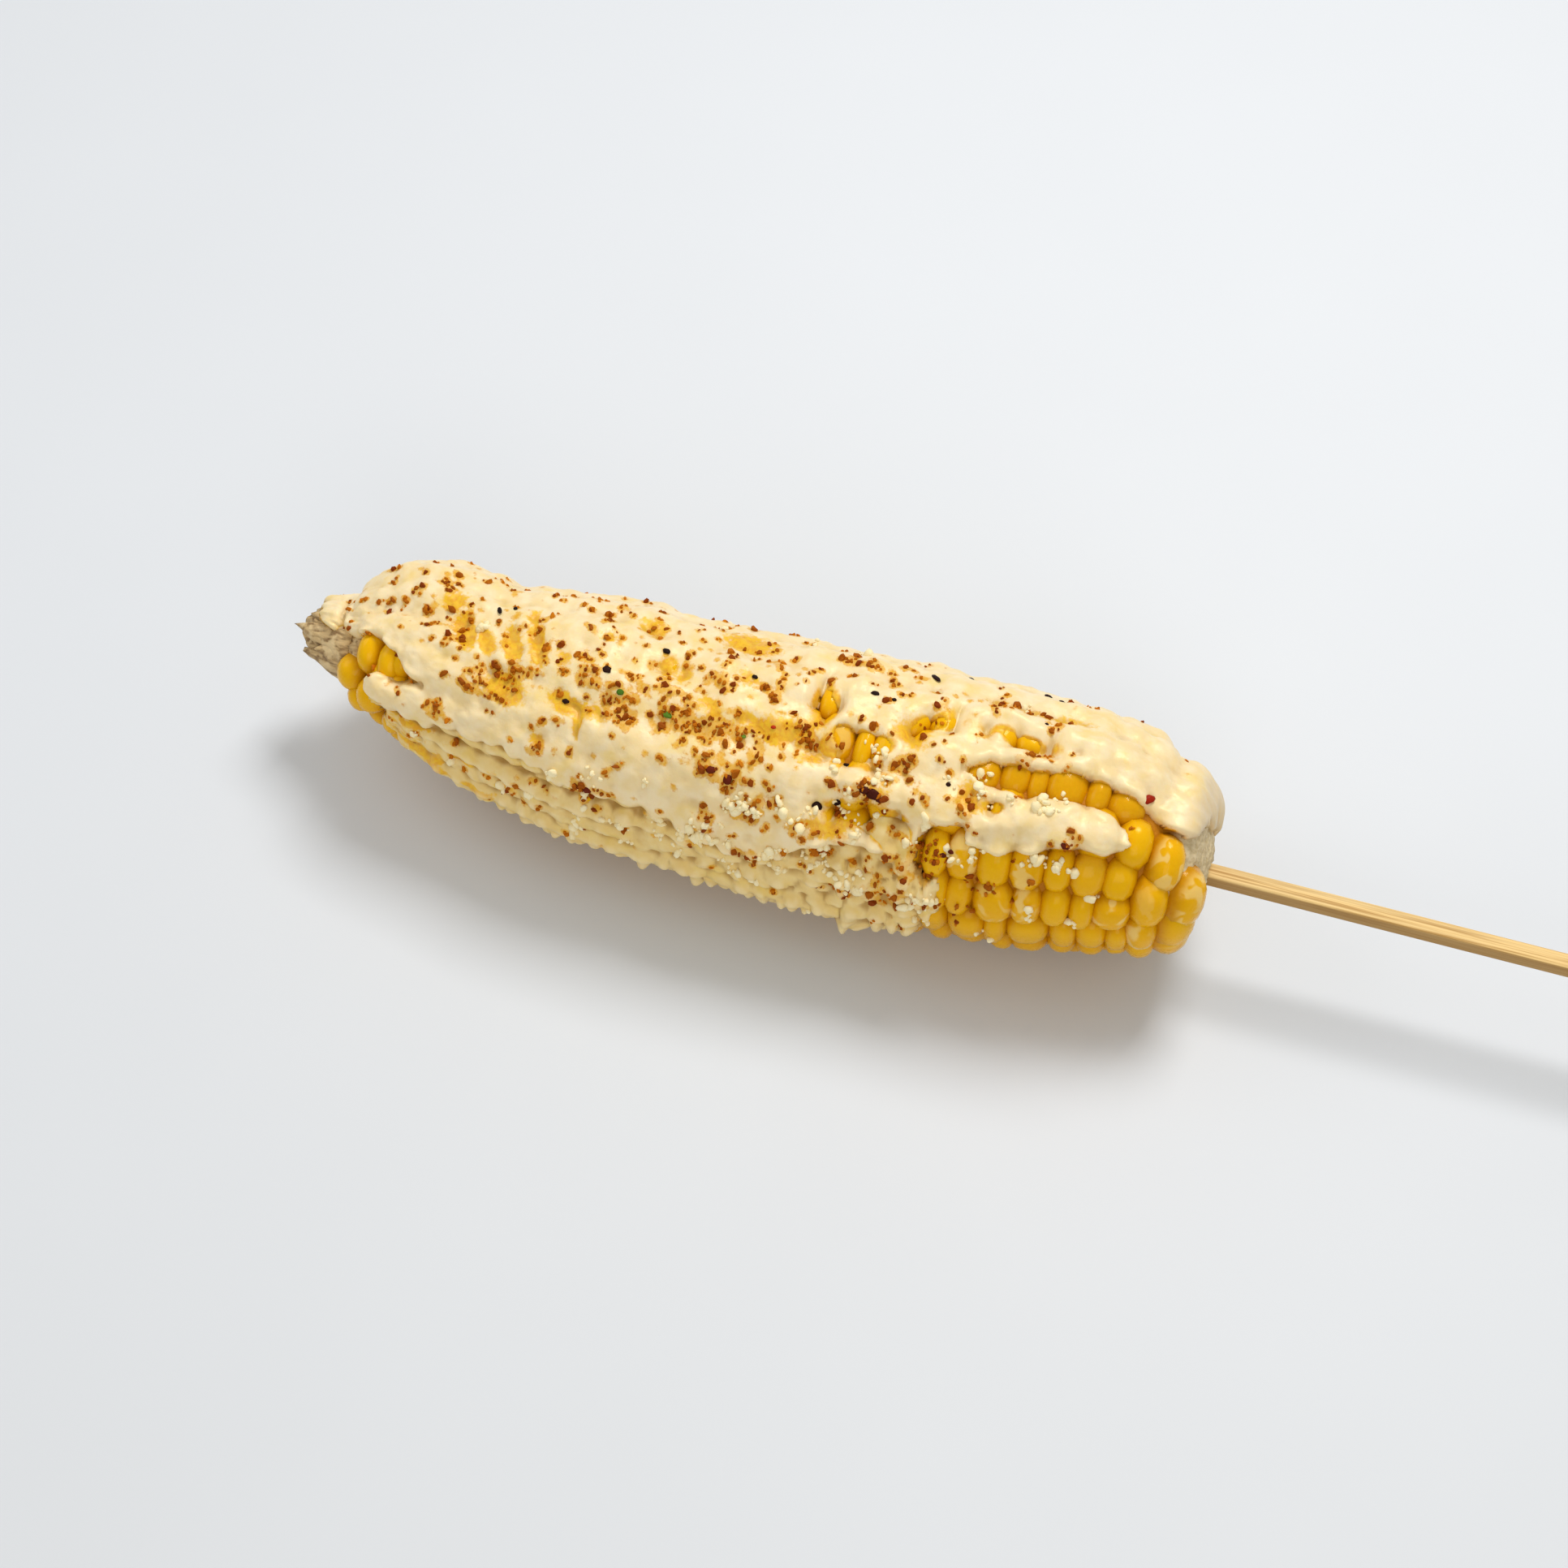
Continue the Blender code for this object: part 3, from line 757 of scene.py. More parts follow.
def draw_cluster_points(draw, clusters, count):
    """Points scattered round the clusters, as distances and angles."""
    shares = np.array([cluster[4] for cluster in clusters], float)
    picks = draw.choice(len(clusters), size=count, p=shares / shares.sum())
    table = np.array([cluster[:4] for cluster in clusters], float)[picks]
    along = table[:, 0] + draw.normal(0, 1, count) * table[:, 2]
    turn = np.radians(table[:, 1]) + draw.normal(0, 1, count) * table[:, 3] / ROLL_RADIUS
    keep = (along > 6) & (along < 176)
    return along[keep], (turn[keep] + math.pi) % (2 * math.pi) - math.pi


def add_companions(draw, along, angle, count, spread):
    """Each point becomes a small clump of points."""
    along, angle = np.repeat(along, count), np.repeat(angle, count)
    angle = angle + draw.normal(0, spread / ROLL_RADIUS, along.size)
    return along + draw.normal(0, spread, along.size), angle


@lru_cache(maxsize=None)
def ear_model():
    """The ear with its kernels, surfaces and sprinkled points, worked out once."""
    scene = bpy.context.scene
    ear = Ear()
    kernels = make_kernels(ear, scene.elote_kernels)
    surfaces = Surfaces(ear, kernels, scene.elote_cream)
    draw = np.random.default_rng(scene.elote_sprinkles.seed)
    along, angle = draw_cluster_points(draw, CHILI_CLUSTERS, scene.elote_sprinkles.chili_count)
    along, angle = add_companions(draw, along, angle, *CHILI_CLUMP)
    run = ear.run_at(along)
    size = np.minimum(0.29 + 0.15 * draw.exponential(1.0, run.size), 0.90)
    tone = draw.uniform(0, 1, run.size) ** 0.7 * (1.3 - 0.95 * size)
    chili = {"run": run, "angle": angle, "size": size, "tone": tone}
    along, angle = draw_cluster_points(draw, CHILI_CLUSTERS, STAIN_COUNT)
    stains = {"run": ear.run_at(along), "angle": angle, "size": draw.uniform(0.2, 0.42, along.size)}
    joined = {key: np.concatenate((chili[key], stains[key])) for key in stains}
    surfaces.stain = stain_field(surfaces, joined)
    return ear, kernels, surfaces, chili


def stain_field(surfaces, grains):
    """How strongly the chili has coloured the cream round it."""
    stain = np.zeros(surfaces.run.shape)
    step, count = surfaces.step, surfaces.angles.size
    i = np.round((grains["run"] - surfaces.runs[0]) / step).astype(int)
    j = np.round((grains["angle"] + math.pi) / (2 * math.pi) * count).astype(int)
    i = np.clip(i, 0, surfaces.runs.size - 1)
    np.add.at(stain, (i, j % count), grains["size"] ** 2 / step**2)
    near, wide = (blur(stain, reach / step, reach / step) for reach in (0.40, 1.5))
    return np.clip(7.0 * near + 0.45 * wide, 0, 1)


# --------------------------------------------------------------------------
# Shader maths
# --------------------------------------------------------------------------

class Value:
    """A shader socket; arithmetic on it adds Math nodes."""

    def __init__(self, net, socket):
        self.net = net
        self.socket = socket

    def math(self, operation, *others):
        """One Math node of this value and the others."""
        sockets = dict(enumerate((self, *others)))
        return self.net.add("ShaderNodeMath", {"operation": operation}, sockets)

    def __add__(self, other):
        return self.math("ADD", other)

    __radd__ = __add__

    def __sub__(self, other):
        return self.math("SUBTRACT", other)

    def __rsub__(self, other):
        return self.net.add("ShaderNodeMath", {"operation": "SUBTRACT"}, {0: other, 1: self})

    def __mul__(self, other):
        return self.math("MULTIPLY", other)

    __rmul__ = __mul__

    def step(self, start, end):
        """Rises smoothly from 0 to 1 between two values."""
        return self.net.add(
            "ShaderNodeMapRange",
            {"interpolation_type": "SMOOTHSTEP"},
            {"Value": self, "From Min": start, "From Max": end},
        )


class Net:
    """A material's nodes, all added by one method."""

    def __init__(self, name, roughness, subsurface=0.0, gloss=0.5, tint=(1.0, 1.0, 1.0), coat=0.0):
        self.material = bpy.data.materials.new(name)
        self.material.use_nodes = True
        self.tree = self.material.node_tree
        self.shader = self.tree.nodes["Principled BSDF"]
        for label, value in (
            ("Roughness", roughness),
            ("Subsurface Weight", subsurface),
            ("Subsurface Radius", (1.0, 0.6, 0.25)),
            ("Subsurface Scale", 0.9 * MM),
            ("Specular IOR Level", gloss),
            ("Specular Tint", (*tint, 1.0)),
            ("Coat Weight", coat),
            ("Coat Roughness", 0.07),
        ):
            self.shader.inputs[label].default_value = value

    def add(self, kind, settings=None, inputs=None, output=0):
        """Add a node with its settings, then its socket values or links."""
        node = self.tree.nodes.new(kind)
        for key, value in (settings or {}).items():
            setattr(node, key, value)
        for key, value in (inputs or {}).items():
            self.feed(node.inputs[key], value)
        return Value(self, node.outputs[output])

    def feed(self, socket, value):
        """Link a value to a socket or set the socket to it."""
        if isinstance(value, Value):
            self.tree.links.new(value.socket, socket)
        else:
            socket.default_value = value

    def place(self, scale=(1.0, 1.0, 1.0)):
        """Object coordinates, stretched."""
        where = self.add("ShaderNodeTexCoord", output="Object")
        return self.add("ShaderNodeMapping", None, {"Vector": where, "Scale": scale})

    def height(self):
        """Height over the floor, in metres."""
        return self.add("ShaderNodeSeparateXYZ", None, {0: self.place()}, output="Z")

    def noise(self, size, detail=3.0, where=None, distortion=0.0):
        """Noise with features of a size in mm, about 0 to 1."""
        inputs = {
            "Vector": where or self.place(),
            "Scale": 1.0 / (size * MM),
            "Detail": detail,
            "Distortion": distortion,
        }
        return self.add("ShaderNodeTexNoise", None, inputs)

    def attribute(self, name):
        """A number stored on the mesh."""
        return self.add("ShaderNodeAttribute", {"attribute_name": name}, output="Fac")

    def mix(self, factor, first, second):
        """Blend two colours."""
        first = first if isinstance(first, Value) else (*first, 1.0)
        second = second if isinstance(second, Value) else (*second, 1.0)
        inputs = {0: factor, 6: first, 7: second}
        return self.add("ShaderNodeMix", {"data_type": "RGBA"}, inputs, output=2)

    def finish(self, color, roughness=None, height=None, depth=0.1):
        """Feed the shader and return the material; depth is the bump's, in mm."""
        self.feed(self.shader.inputs["Base Color"], color)
        if roughness is not None:
            self.feed(self.shader.inputs["Roughness"], roughness)
        if height is not None:
            bump = self.add("ShaderNodeBump", None, {"Height": height, "Distance": depth * MM})
            self.feed(self.shader.inputs["Normal"], bump)
        return self.material


# Second colours of the finishes.
RIPE_KERNEL = (0.80, 0.37, 0.001)
BRIGHT_KERNEL = (0.88, 0.53, 0.01)
WARM_CREAM = (0.88, 0.62, 0.08)
DEEP_PATCH = (0.80, 0.385, 0.002)
CHILI_DUST = (0.62, 0.21, 0.004)
# Painted highlight on the cream's ridges.
RIDGE_HIGHLIGHT = (0.96, 0.79, 0.47)
DULL_EDGE = (0.70, 0.56, 0.36)
DARK_FIBRE, LIGHT_FIBRE = (0.24, 0.14, 0.055), (0.66, 0.47, 0.23)
PALE_HUSK = (0.78, 0.60, 0.33)
DARK_BUTT, LIGHT_BUTT = (0.54, 0.42, 0.22), (0.74, 0.61, 0.38)
LIGHT_WOOD, DARK_WOOD, PALE_WOOD = (0.86, 0.60, 0.25), (0.50, 0.28, 0.08), (0.90, 0.69, 0.34)
# Painted shade on the stick's sides.
SIDE_SHADE = (0.36, 0.20, 0.06)
DRY_CHEESE = (0.95, 0.78, 0.42)


def kernel_material(settings):
    """Moist translucent yellow, deeper low down and on the row under the cream as painted shade, with
    creamy patches on some.
    """
    net = Net("kernel", 0.24, subsurface=0.15, gloss=0.2, tint=(1.0, 0.78, 0.14), coat=0.18)
    tone = net.attribute("tone")
    depth = net.attribute("crown")
    warmer = net.mix(tone * 0.45, settings.color, RIPE_KERNEL)
    body = net.mix(depth.step(0.15, 0.85), settings.deep_color, warmer)
    # Painted shade on the kernels whose tone is -1, the row under the cream's overhang.
    body = net.mix((-1.0 * tone).step(0.0, 1.0) * 0.55, body, settings.deep_color)
    # Painted shade: darker towards the floor.
    low = 1.0 - net.height().step(9 * MM, 26 * MM)
    body = net.mix(low * 0.35, body, settings.deep_color)
    blotches = net.noise(5.0, 2.0, distortion=0.6)
    patchy = tone.step(0.80, 0.97) * blotches.step(0.50, 0.56) * depth.step(0.3, 0.7)
    body = net.mix(patchy * 0.9, body, settings.pale_color)
    fine = net.noise(0.9, 2.0)
    body = net.mix(fine * 0.25, body, BRIGHT_KERNEL)
    return net.finish(body, 0.20 + 0.16 * fine, net.noise(2.4, 2.0), 0.12)


def cream_material(settings, name, color, thin_end, grooves):
    """Ivory cream: yellow where it is thin, stained and dusted round the chili, with painted shade in
    its hollows, painted highlights on its ridges and greyer towards the butt's end.
    """
    net = Net(name, 0.34, subsurface=0.10, gloss=0.5, tint=(1.0, 0.88, 0.6))
    cover = net.attribute("cover")
    stain = net.attribute("stain")
    mottle = net.noise(3.0, 3.0)
    fine = net.noise(0.9, 3.0)
    thin = 1.0 - (cover + (mottle - 0.5) * 0.5 + (fine - 0.5) * 0.3).step(thin_end - 0.45, thin_end)
    spots = (net.attribute("thin") + (fine - 0.5) * 1.1 + (mottle - 0.5) * 0.6).step(0.26, 0.72)
    thin = thin.math("MAXIMUM", spots)
    paler = tuple(min(1.0, channel * gain) for channel, gain in zip(color, (1.04, 1.11, 1.35)))
    body = net.mix(mottle.step(0.35, 0.7), color, paler)
    warm = net.noise(4.5, 3.0).step(0.50, 0.72)
    body = net.mix(warm * 0.35, body, WARM_CREAM)
    patch = net.mix(fine.step(0.38, 0.60), DEEP_PATCH, settings.thin_color)
    body = net.mix(thin * 0.95, body, patch)
    dust = net.noise(0.55, 2.0).step(0.50, 0.60) * stain.step(0.05, 0.5)
    body = net.mix(dust * 0.7, body, CHILI_DUST)
    soaked = (stain * (0.5 + net.noise(1.3, 2.0))).step(0.14, 0.75)
    body = net.mix(soaked * 0.8, body, settings.stain_color)
    # Painted shade in the hollows and painted highlights on the ridges, from how far the cream lies
    # below or above its blurred surface.
    relief = net.attribute("hollow") + (fine - 0.5) * 0.12
    body = net.mix(relief.step(0.03, 0.55) * grooves, body, settings.hollow_shade_color)
    body = net.mix((-1.0 * relief).step(0.12, 0.5) * 0.5, body, RIDGE_HIGHLIGHT)
    # Greyer, duller beige towards the butt's end.
    greyer_end = (net.attribute("fade") + (mottle - 0.5) * 0.6).step(0.3, 0.9)
    body = net.mix(greyer_end * 0.8, body, DULL_EDGE)
    height = net.noise(2.0, 3.0) + 0.5 * fine
    return net.finish(body, 0.28 + 0.16 * mottle, height, 0.12)


def cob_material(flesh_color):
    """Dull grey-brown plant fibre, streaked along the ear; yellow under the kernels."""
    net = Net("cob_fibre", 0.62, subsurface=0.05, gloss=0.25)
    streaks = net.noise(0.9, 4.0, net.place((0.22, 1.0, 1.0)))
    blotch = net.noise(3.0, 3.0)
    color = net.mix(streaks.step(0.34, 0.62), DARK_FIBRE, LIGHT_FIBRE)
    color = net.mix(blotch.step(0.50, 0.64) * 0.75, color, PALE_HUSK)
    pale = net.mix(streaks.step(0.30, 0.66), DARK_BUTT, LIGHT_BUTT)
    color = net.mix(net.attribute("butt"), color, pale)
    color = net.mix(net.attribute("flesh"), color, flesh_color)
    return net.finish(color, 0.5 + 0.25 * blotch, streaks + 0.5 * blotch, 0.35)


def stick_material():
    """Bare planed wood with fine lengthwise grain and painted shade on its sides."""
    net = Net("stick_wood", 0.55, gloss=0.25)
    grain = net.noise(0.42, 5.0, net.place((0.018, 1.0, 1.0)))
    broad = net.noise(1.6, 2.0, net.place((0.03, 1.0, 1.0)))
    color = net.mix(grain.step(0.38, 0.66), LIGHT_WOOD, DARK_WOOD)
    color = net.mix(broad.step(0.45, 0.7) * 0.5, color, PALE_WOOD)
    # Painted shade: the sides below the top face are darker.
    top = STICK_BOX[1][2]
    side = 1.0 - net.height().step(top - 0.6 * MM, top - 0.1 * MM)
    color = net.mix(side * 0.8, color, SIDE_SHADE)
    return net.finish(color, 0.45 + 0.2 * grain, grain, 0.08)


def grain_material(name, light, dark, roughness=0.6):
    """Grains that differ in tone."""
    net = Net(name, roughness, gloss=0.08)
    tone = net.attribute("tone")
    fine = net.noise(0.35, 2.0)
    color = net.mix((tone * 0.85 + fine * 0.3).step(0.1, 1.0), dark, light)
    return net.finish(color, None, fine)


def floor_material(color):
    """Plain pale floor with the faintest unevenness."""
    net = Net("floor", 0.6)
    shade = net.noise(60.0, 2.0)
    paler = tuple(min(1.0, channel * 1.03) for channel in color)
    return net.finish(net.mix(shade, color, paler))


# --------------------------------------------------------------------------
# Making meshes
# --------------------------------------------------------------------------

def add_object(name, mesh, material=None, smooth=True):
    """Link a mesh as an object at the origin."""
    item = bpy.data.objects.new(name, mesh)
    bpy.context.scene.collection.objects.link(item)
    if material:
        mesh.materials.clear()
        mesh.materials.append(material)
    if smooth:
        mesh.shade_smooth()
    return item


def mesh_from_arrays(name, points, faces):
    """A mesh from points in mm and faces."""
    mesh = bpy.data.meshes.new(name)
    mesh.from_pydata((points * MM).tolist(), [], faces.tolist())
    mesh.validate()
    return mesh


def store(mesh, name, values):
    """Store one number a point on a mesh."""
    layer = mesh.attributes.new(name, "FLOAT", "POINT")
    layer.data.foreach_set("value", np.asarray(values, dtype=np.float32))


def declare(item, slot, *nodes):
    """Hang the piece on the body it rides on and hide the imported parts it stands in for."""
    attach(item, BODY)
    if nodes:
        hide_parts(*nodes)


def close_diagonals(mask):
    """Fill cells so that no two of them touch only at a corner."""
    mask = mask.copy()
    for _ in range(6):
        a, b = mask[:-1, :-1], mask[1:, :-1]
        c, d = mask[:-1, 1:], mask[1:, 1:]
        crossed = (a & d & ~b & ~c) | (b & c & ~a & ~d)
        if not crossed.any():
            break
        rows, columns = np.nonzero(crossed)
        mask[rows, columns] = True
        mask[rows + 1, columns] = True
        mask[rows, columns + 1] = True
        mask[rows + 1, columns + 1] = True
    return mask


# More than the ear's radius, so that a height this far down lies on its axis.
FAR_INSIDE = 99.0


def cut_normals(surfaces, outer, column):
    """Normals where a coat is cut, so that both its lengths are shaded alike."""
    cut = slice(column - 1, column + 2)
    points = surfaces.ear.place(surfaces.run[:, cut], surfaces.angle[:, cut], outer[:, cut])
    ahead = np.gradient(points[:, 1], axis=0)
    normals = np.cross(ahead, points[:, 2] - points[:, 0])
    radial = points[:, 1] - surfaces.ear.place(surfaces.run[:, column], 0.0, -FAR_INSIDE)
    normals *= np.sign((normals * radial).sum(axis=1, keepdims=True))
    return normals / np.linalg.norm(normals, axis=1, keepdims=True)


SHELL_THICKNESS = 0.7


def shell_mesh(name, surfaces, outer, inside, thin, columns):
    """A closed shell over part of the grid: outer face, inner face and rim."""
    low, high = (round((turn + 180) / 360 * surfaces.angles.size) for turn in columns)
    edge_normals = [cut_normals(surfaces, outer, column) for column in (low, high)]
    part = slice(low, high + 1)
    outer, inside = outer[:, part], inside[:, part]
    run, angle = surfaces.run[:, part], surfaces.angle[:, part]
    floor = np.minimum(outer, surfaces.soft[:, part]) - SHELL_THICKNESS
    cells = inside[:-1, :-1] & inside[1:, :-1] & inside[:-1, 1:] & inside[1:, 1:]
    cells = close_diagonals(cells)
    used = np.zeros(outer.shape, bool)
    for di in (0, 1):
        for dj in (0, 1):
            used[di:di + cells.shape[0], dj:dj + cells.shape[1]] |= cells
    index = np.cumsum(used).reshape(used.shape) - 1
    count = int(used.sum())
    top = surfaces.ear.place(run[used], angle[used], outer[used])
    under = surfaces.ear.place(run[used], angle[used], floor[used])
    i, j = np.nonzero(cells)
    quad = np.stack((index[i, j], index[i, j + 1], index[i + 1, j + 1], index[i + 1, j]), 1)
    faces = [quad, quad[:, ::-1] + count]
    padded = np.pad(cells, 1)
    sides = (
        ((i, j), (i + 1, j), padded[1:-1, :-2]),
        ((i + 1, j), (i + 1, j + 1), padded[2:, 1:-1]),
        ((i + 1, j + 1), (i, j + 1), padded[1:-1, 2:]),
        ((i, j + 1), (i, j), padded[:-2, 1:-1]),
    )
    for start, end, neighbour in sides:
        rim = ~neighbour[i, j]
        first, second = index[start][rim], index[end][rim]
        faces.append(np.stack((first, second, second + count, first + count), 1))
    mesh = mesh_from_arrays(name, np.concatenate((top, under)), np.concatenate(faces))
    mesh.shade_smooth()
    normals = np.zeros((*used.shape, 3))
    normals[:, 0], normals[:, -1] = edge_normals
    normals = np.concatenate((normals[used], np.zeros((count, 3))))
    mesh.normals_split_custom_set_from_vertices(normals.tolist())
    # Depth below the blurred top, negative over ridges; the cream material paints shade and highlights
    # from it.
    level = blur(surfaces.top, 1.1 / surfaces.step, 1.1 / surfaces.step)[:, part]
    for label, field in (
        ("cover", np.clip(outer - surfaces.kernel[:, part], 0, 3)),
        ("stain", surfaces.stain[:, part]),
        ("thin", thin[:, part]),
        ("hollow", np.clip(level - outer, -2, 2)),
        ("fade", smooth_step(surfaces.along[:, part], 171.0, 178.0)),
    ):
        store(mesh, label, np.tile(field[used], 2))
    return mesh


def kernel_shape(name, lean, dimple):
    """A plump kernel cap with a closed underside: half sizes 1 by 1, height 1."""
    around, rings = 12, 6
    shape = bmesh.new()
    top = shape.verts.new((0.0, 0.0, 1.0 - dimple))
    loops = []
    for ring in range(1, rings + 1):
        reach = math.sin(math.pi / 2 * min(ring / (rings - 1), 1.0))
        level = max(1 - reach**CAP_POWER, 0.0) ** (1 / CAP_ROOT)
        if ring == rings:
            reach, level = 0.82, -0.75
        loop = []
        for turn in range(around):
            angle = 2 * math.pi * turn / around
            c, s = math.cos(angle), math.sin(angle)
            norm = (abs(c) ** CAP_POWER + abs(s) ** CAP_POWER) ** (1 / CAP_POWER)
            x, y = reach * c / norm, reach * s / norm
            dip = dimple * math.exp(-4.0 * (x * x + y * y))
            loop.append(shape.verts.new((x + lean * level * 0.3, y, level - dip)))
        loops.append(loop)
    for turn in range(around):
        following = (turn + 1) % around
        shape.faces.new((top, loops[0][turn], loops[0][following]))
        for inner, outer in zip(loops, loops[1:]):
            shape.faces.new((inner[turn], outer[turn], outer[following], inner[following]))
    shape.faces.new(loops[-1][::-1])
    mesh = bpy.data.meshes.new(name)
    shape.to_mesh(mesh)
    shape.free()
    store(mesh, "crown", [max(vertex.co.z, 0.0) for vertex in mesh.vertices])
    mesh.shade_smooth()
    return mesh


def lump_shape(name, seed, subdivisions, roughness):
    """An uneven crumb of radius about 1."""
    draw = np.random.default_rng(seed)
    shape = bmesh.new()
    bmesh.ops.create_icosphere(shape, subdivisions=subdivisions, radius=1.0)
    for vertex in shape.verts:
        vertex.co *= 1.0 + roughness * draw.uniform(-1, 1)
    mesh = bpy.data.meshes.new(name)
    shape.to_mesh(mesh)
    shape.free()
    return mesh


def scatter_tree(shapes, material):
    """Geometry nodes that set a shape on each point, by its turn, scale and pick."""
    tree = bpy.data.node_groups.new("scatter", "GeometryNodeTree")
    tree.interface.new_socket("Points", in_out="INPUT", socket_type="NodeSocketGeometry")
    tree.interface.new_socket("Size", in_out="INPUT", socket_type="NodeSocketFloat")
    tree.interface.new_socket("Geometry", in_out="OUTPUT", socket_type="NodeSocketGeometry")
    nodes, links = tree.nodes, tree.links
    start, end = nodes.new("NodeGroupInput"), nodes.new("NodeGroupOutput")
    join = nodes.new("GeometryNodeJoinGeometry")
    holders = []
    for shape in reversed(shapes):
        holder = bpy.data.objects.new(shape.name, shape)
        bpy.context.scene.collection.objects.link(holder)
        holders.append(holder)
        info = nodes.new("GeometryNodeObjectInfo")
        info.inputs["Object"].default_value = holder
        info.inputs["As Instance"].default_value = True
        links.new(info.outputs["Geometry"], join.inputs["Geometry"])

    def named(name, kind):
        node = nodes.new("GeometryNodeInputNamedAttribute")
        node.data_type = kind
        node.inputs["Name"].default_value = name
        return node.outputs["Attribute"]

    turn = nodes.new("FunctionNodeEulerToRotation")
    links.new(named("turn", "FLOAT_VECTOR"), turn.inputs[0])
    scale = nodes.new("ShaderNodeVectorMath")
    scale.operation = "SCALE"
    links.new(named("scale_xyz", "FLOAT_VECTOR"), scale.inputs[0])
    links.new(start.outputs["Size"], scale.inputs["Scale"])
    instances = nodes.new("GeometryNodeInstanceOnPoints")
    instances.inputs["Pick Instance"].default_value = True
    links.new(start.outputs["Points"], instances.inputs["Points"])
    links.new(join.outputs[0], instances.inputs["Instance"])
    links.new(named("pick", "INT"), instances.inputs["Instance Index"])
    links.new(turn.outputs[0], instances.inputs["Rotation"])
    links.new(scale.outputs[0], instances.inputs["Scale"])
    realize = nodes.new("GeometryNodeRealizeInstances")
    finish = nodes.new("GeometryNodeSetMaterial")
    finish.inputs["Material"].default_value = material
    links.new(instances.outputs[0], realize.inputs[0])
    links.new(realize.outputs[0], finish.inputs["Geometry"])
    links.new(finish.outputs[0], end.inputs[0])
    return tree, holders


def scatter(name, shapes, material, points, turns, scales, picks, tones, smooth=True):
    """Set shapes on points, in mm, and return them as one plain mesh object."""
    carrier = bpy.data.meshes.new(name + "_points")
    carrier.from_pydata((np.asarray(points) * MM).tolist(), [], [])
    for label, kind, values in (
        ("turn", "FLOAT_VECTOR", turns),
        ("scale_xyz", "FLOAT_VECTOR", scales),
        ("pick", "INT", picks),
        ("tone", "FLOAT", tones),
    ):
        layer = carrier.attributes.new(label, kind, "POINT")
        key = "vector" if kind == "FLOAT_VECTOR" else "value"
        layer.data.foreach_set(key, np.asarray(values).ravel())
    source = add_object(name + "_source", carrier, smooth=False)
    tree, holders = scatter_tree(shapes, material)
    modifier = source.modifiers.new("Scatter", "NODES")
    modifier.node_group = tree
    sizes = {item.name: item.identifier for item in tree.interface.items_tree}
    modifier[sizes["Size"]] = MM
    bpy.context.view_layer.update()
    evaluated = source.evaluated_get(bpy.context.evaluated_depsgraph_get())
    mesh = bpy.data.meshes.new_from_object(evaluated)
    mesh.name = name
    source.modifiers.clear()
    for item in (source, *holders):
        bpy.data.objects.remove(item, do_unlink=True)
    return add_object(name, mesh, material, smooth)


def euler(matrix):
    """A rotation as three angles."""
    return tuple(matrix.to_euler())


# --------------------------------------------------------------------------
# Pieces
# --------------------------------------------------------------------------

def build_kernels(scene):
    """All kernels as one piece."""
    ear, kernels, _, _ = ear_model()
    shapes = [
        kernel_shape("plump_kernel", 0.0, 0.0),
        kernel_shape("leaning_kernel", 0.5, 0.02),
        kernel_shape("dimpled_kernel", -0.4, 0.10),
    ]
    points, turns, scales = [], [], []
    for kernel in kernels:
        height = kernel["lift"] - kernel["cap"]
        points.append(ear.place(kernel["run"], kernel["angle"], height))
        tilt = Matrix.Rotation(kernel["tilt"][0], 3, "X") @ Matrix.Rotation(kernel["tilt"][1], 3, "Y")
        turns.append(euler(ear.frame_at(kernel["run"], kernel["angle"]) @ tilt))
        scales.append((kernel["long"], kernel["wide"], kernel["cap"]))
    item = scatter(
        "kernels_detail", shapes, kernel_material(scene.elote_kernels), points, turns, scales,
        [kernel["shape"] for kernel in kernels], [kernel["tone"] for kernel in kernels],
    )
    press_flat(item.data)
    declare(item, "kernels", "kernels")


def press_flat(mesh):
    """Press what would reach below the floor flat on it."""
    spots = np.empty(len(mesh.vertices) * 3, np.float32)
    mesh.vertices.foreach_get("co", spots)
    spots[2::3] = np.maximum(spots[2::3], 0.0)
    mesh.vertices.foreach_set("co", spots)
    mesh.update()


def build_cream(scene):
    """The thick blanket in two lengths, the film in front and the film behind."""
    _, _, surfaces, _ = ear_model()
    settings = scene.elote_cream
    # The last number sets how strong the painted shade in the hollows is.
    thick = cream_material(settings, "cream_thick", settings.color, 0.70, 0.45)
    thin = cream_material(settings, "cream_film", settings.film_color, 0.0, 0.90)
    pieces = (
        ("cream_blanket_front", "blanket", (-62, 84), thick),
        ("cream_blanket_back", "blanket", (-126, -62), thick),
        ("cream_film_front", "film", (36, 135), thin),
        ("cream_film_back", "back", (-145, -82), thin),
    )
    for name, coat, columns, material in pieces:
        outer, inside = getattr(surfaces, coat), getattr(surfaces, coat + "_inside")
        spots = surfaces.thin if coat == "blanket" else surfaces.film_thin
        mesh = shell_mesh(name, surfaces, outer, inside, spots, columns)
        declare(add_object(name, mesh, material), "cream", "crema")


# Ragged husk points at the tip: angle, half width in degrees, where the point
# ends and how far it stands off.
BRACTS = (
    (38, 34, -1.0, 0.6), (92, 36, 2.0, 1.3), (140, 34, 0.8, 0.5), (-170, 34, 1.8, 0.8),
    (-115, 34, 0.6, 0.6), (-60, 34, 1.6, 0.2), (-8, 34, 1.8, 0.0), (66, 26, 5.0, 1.2),
)


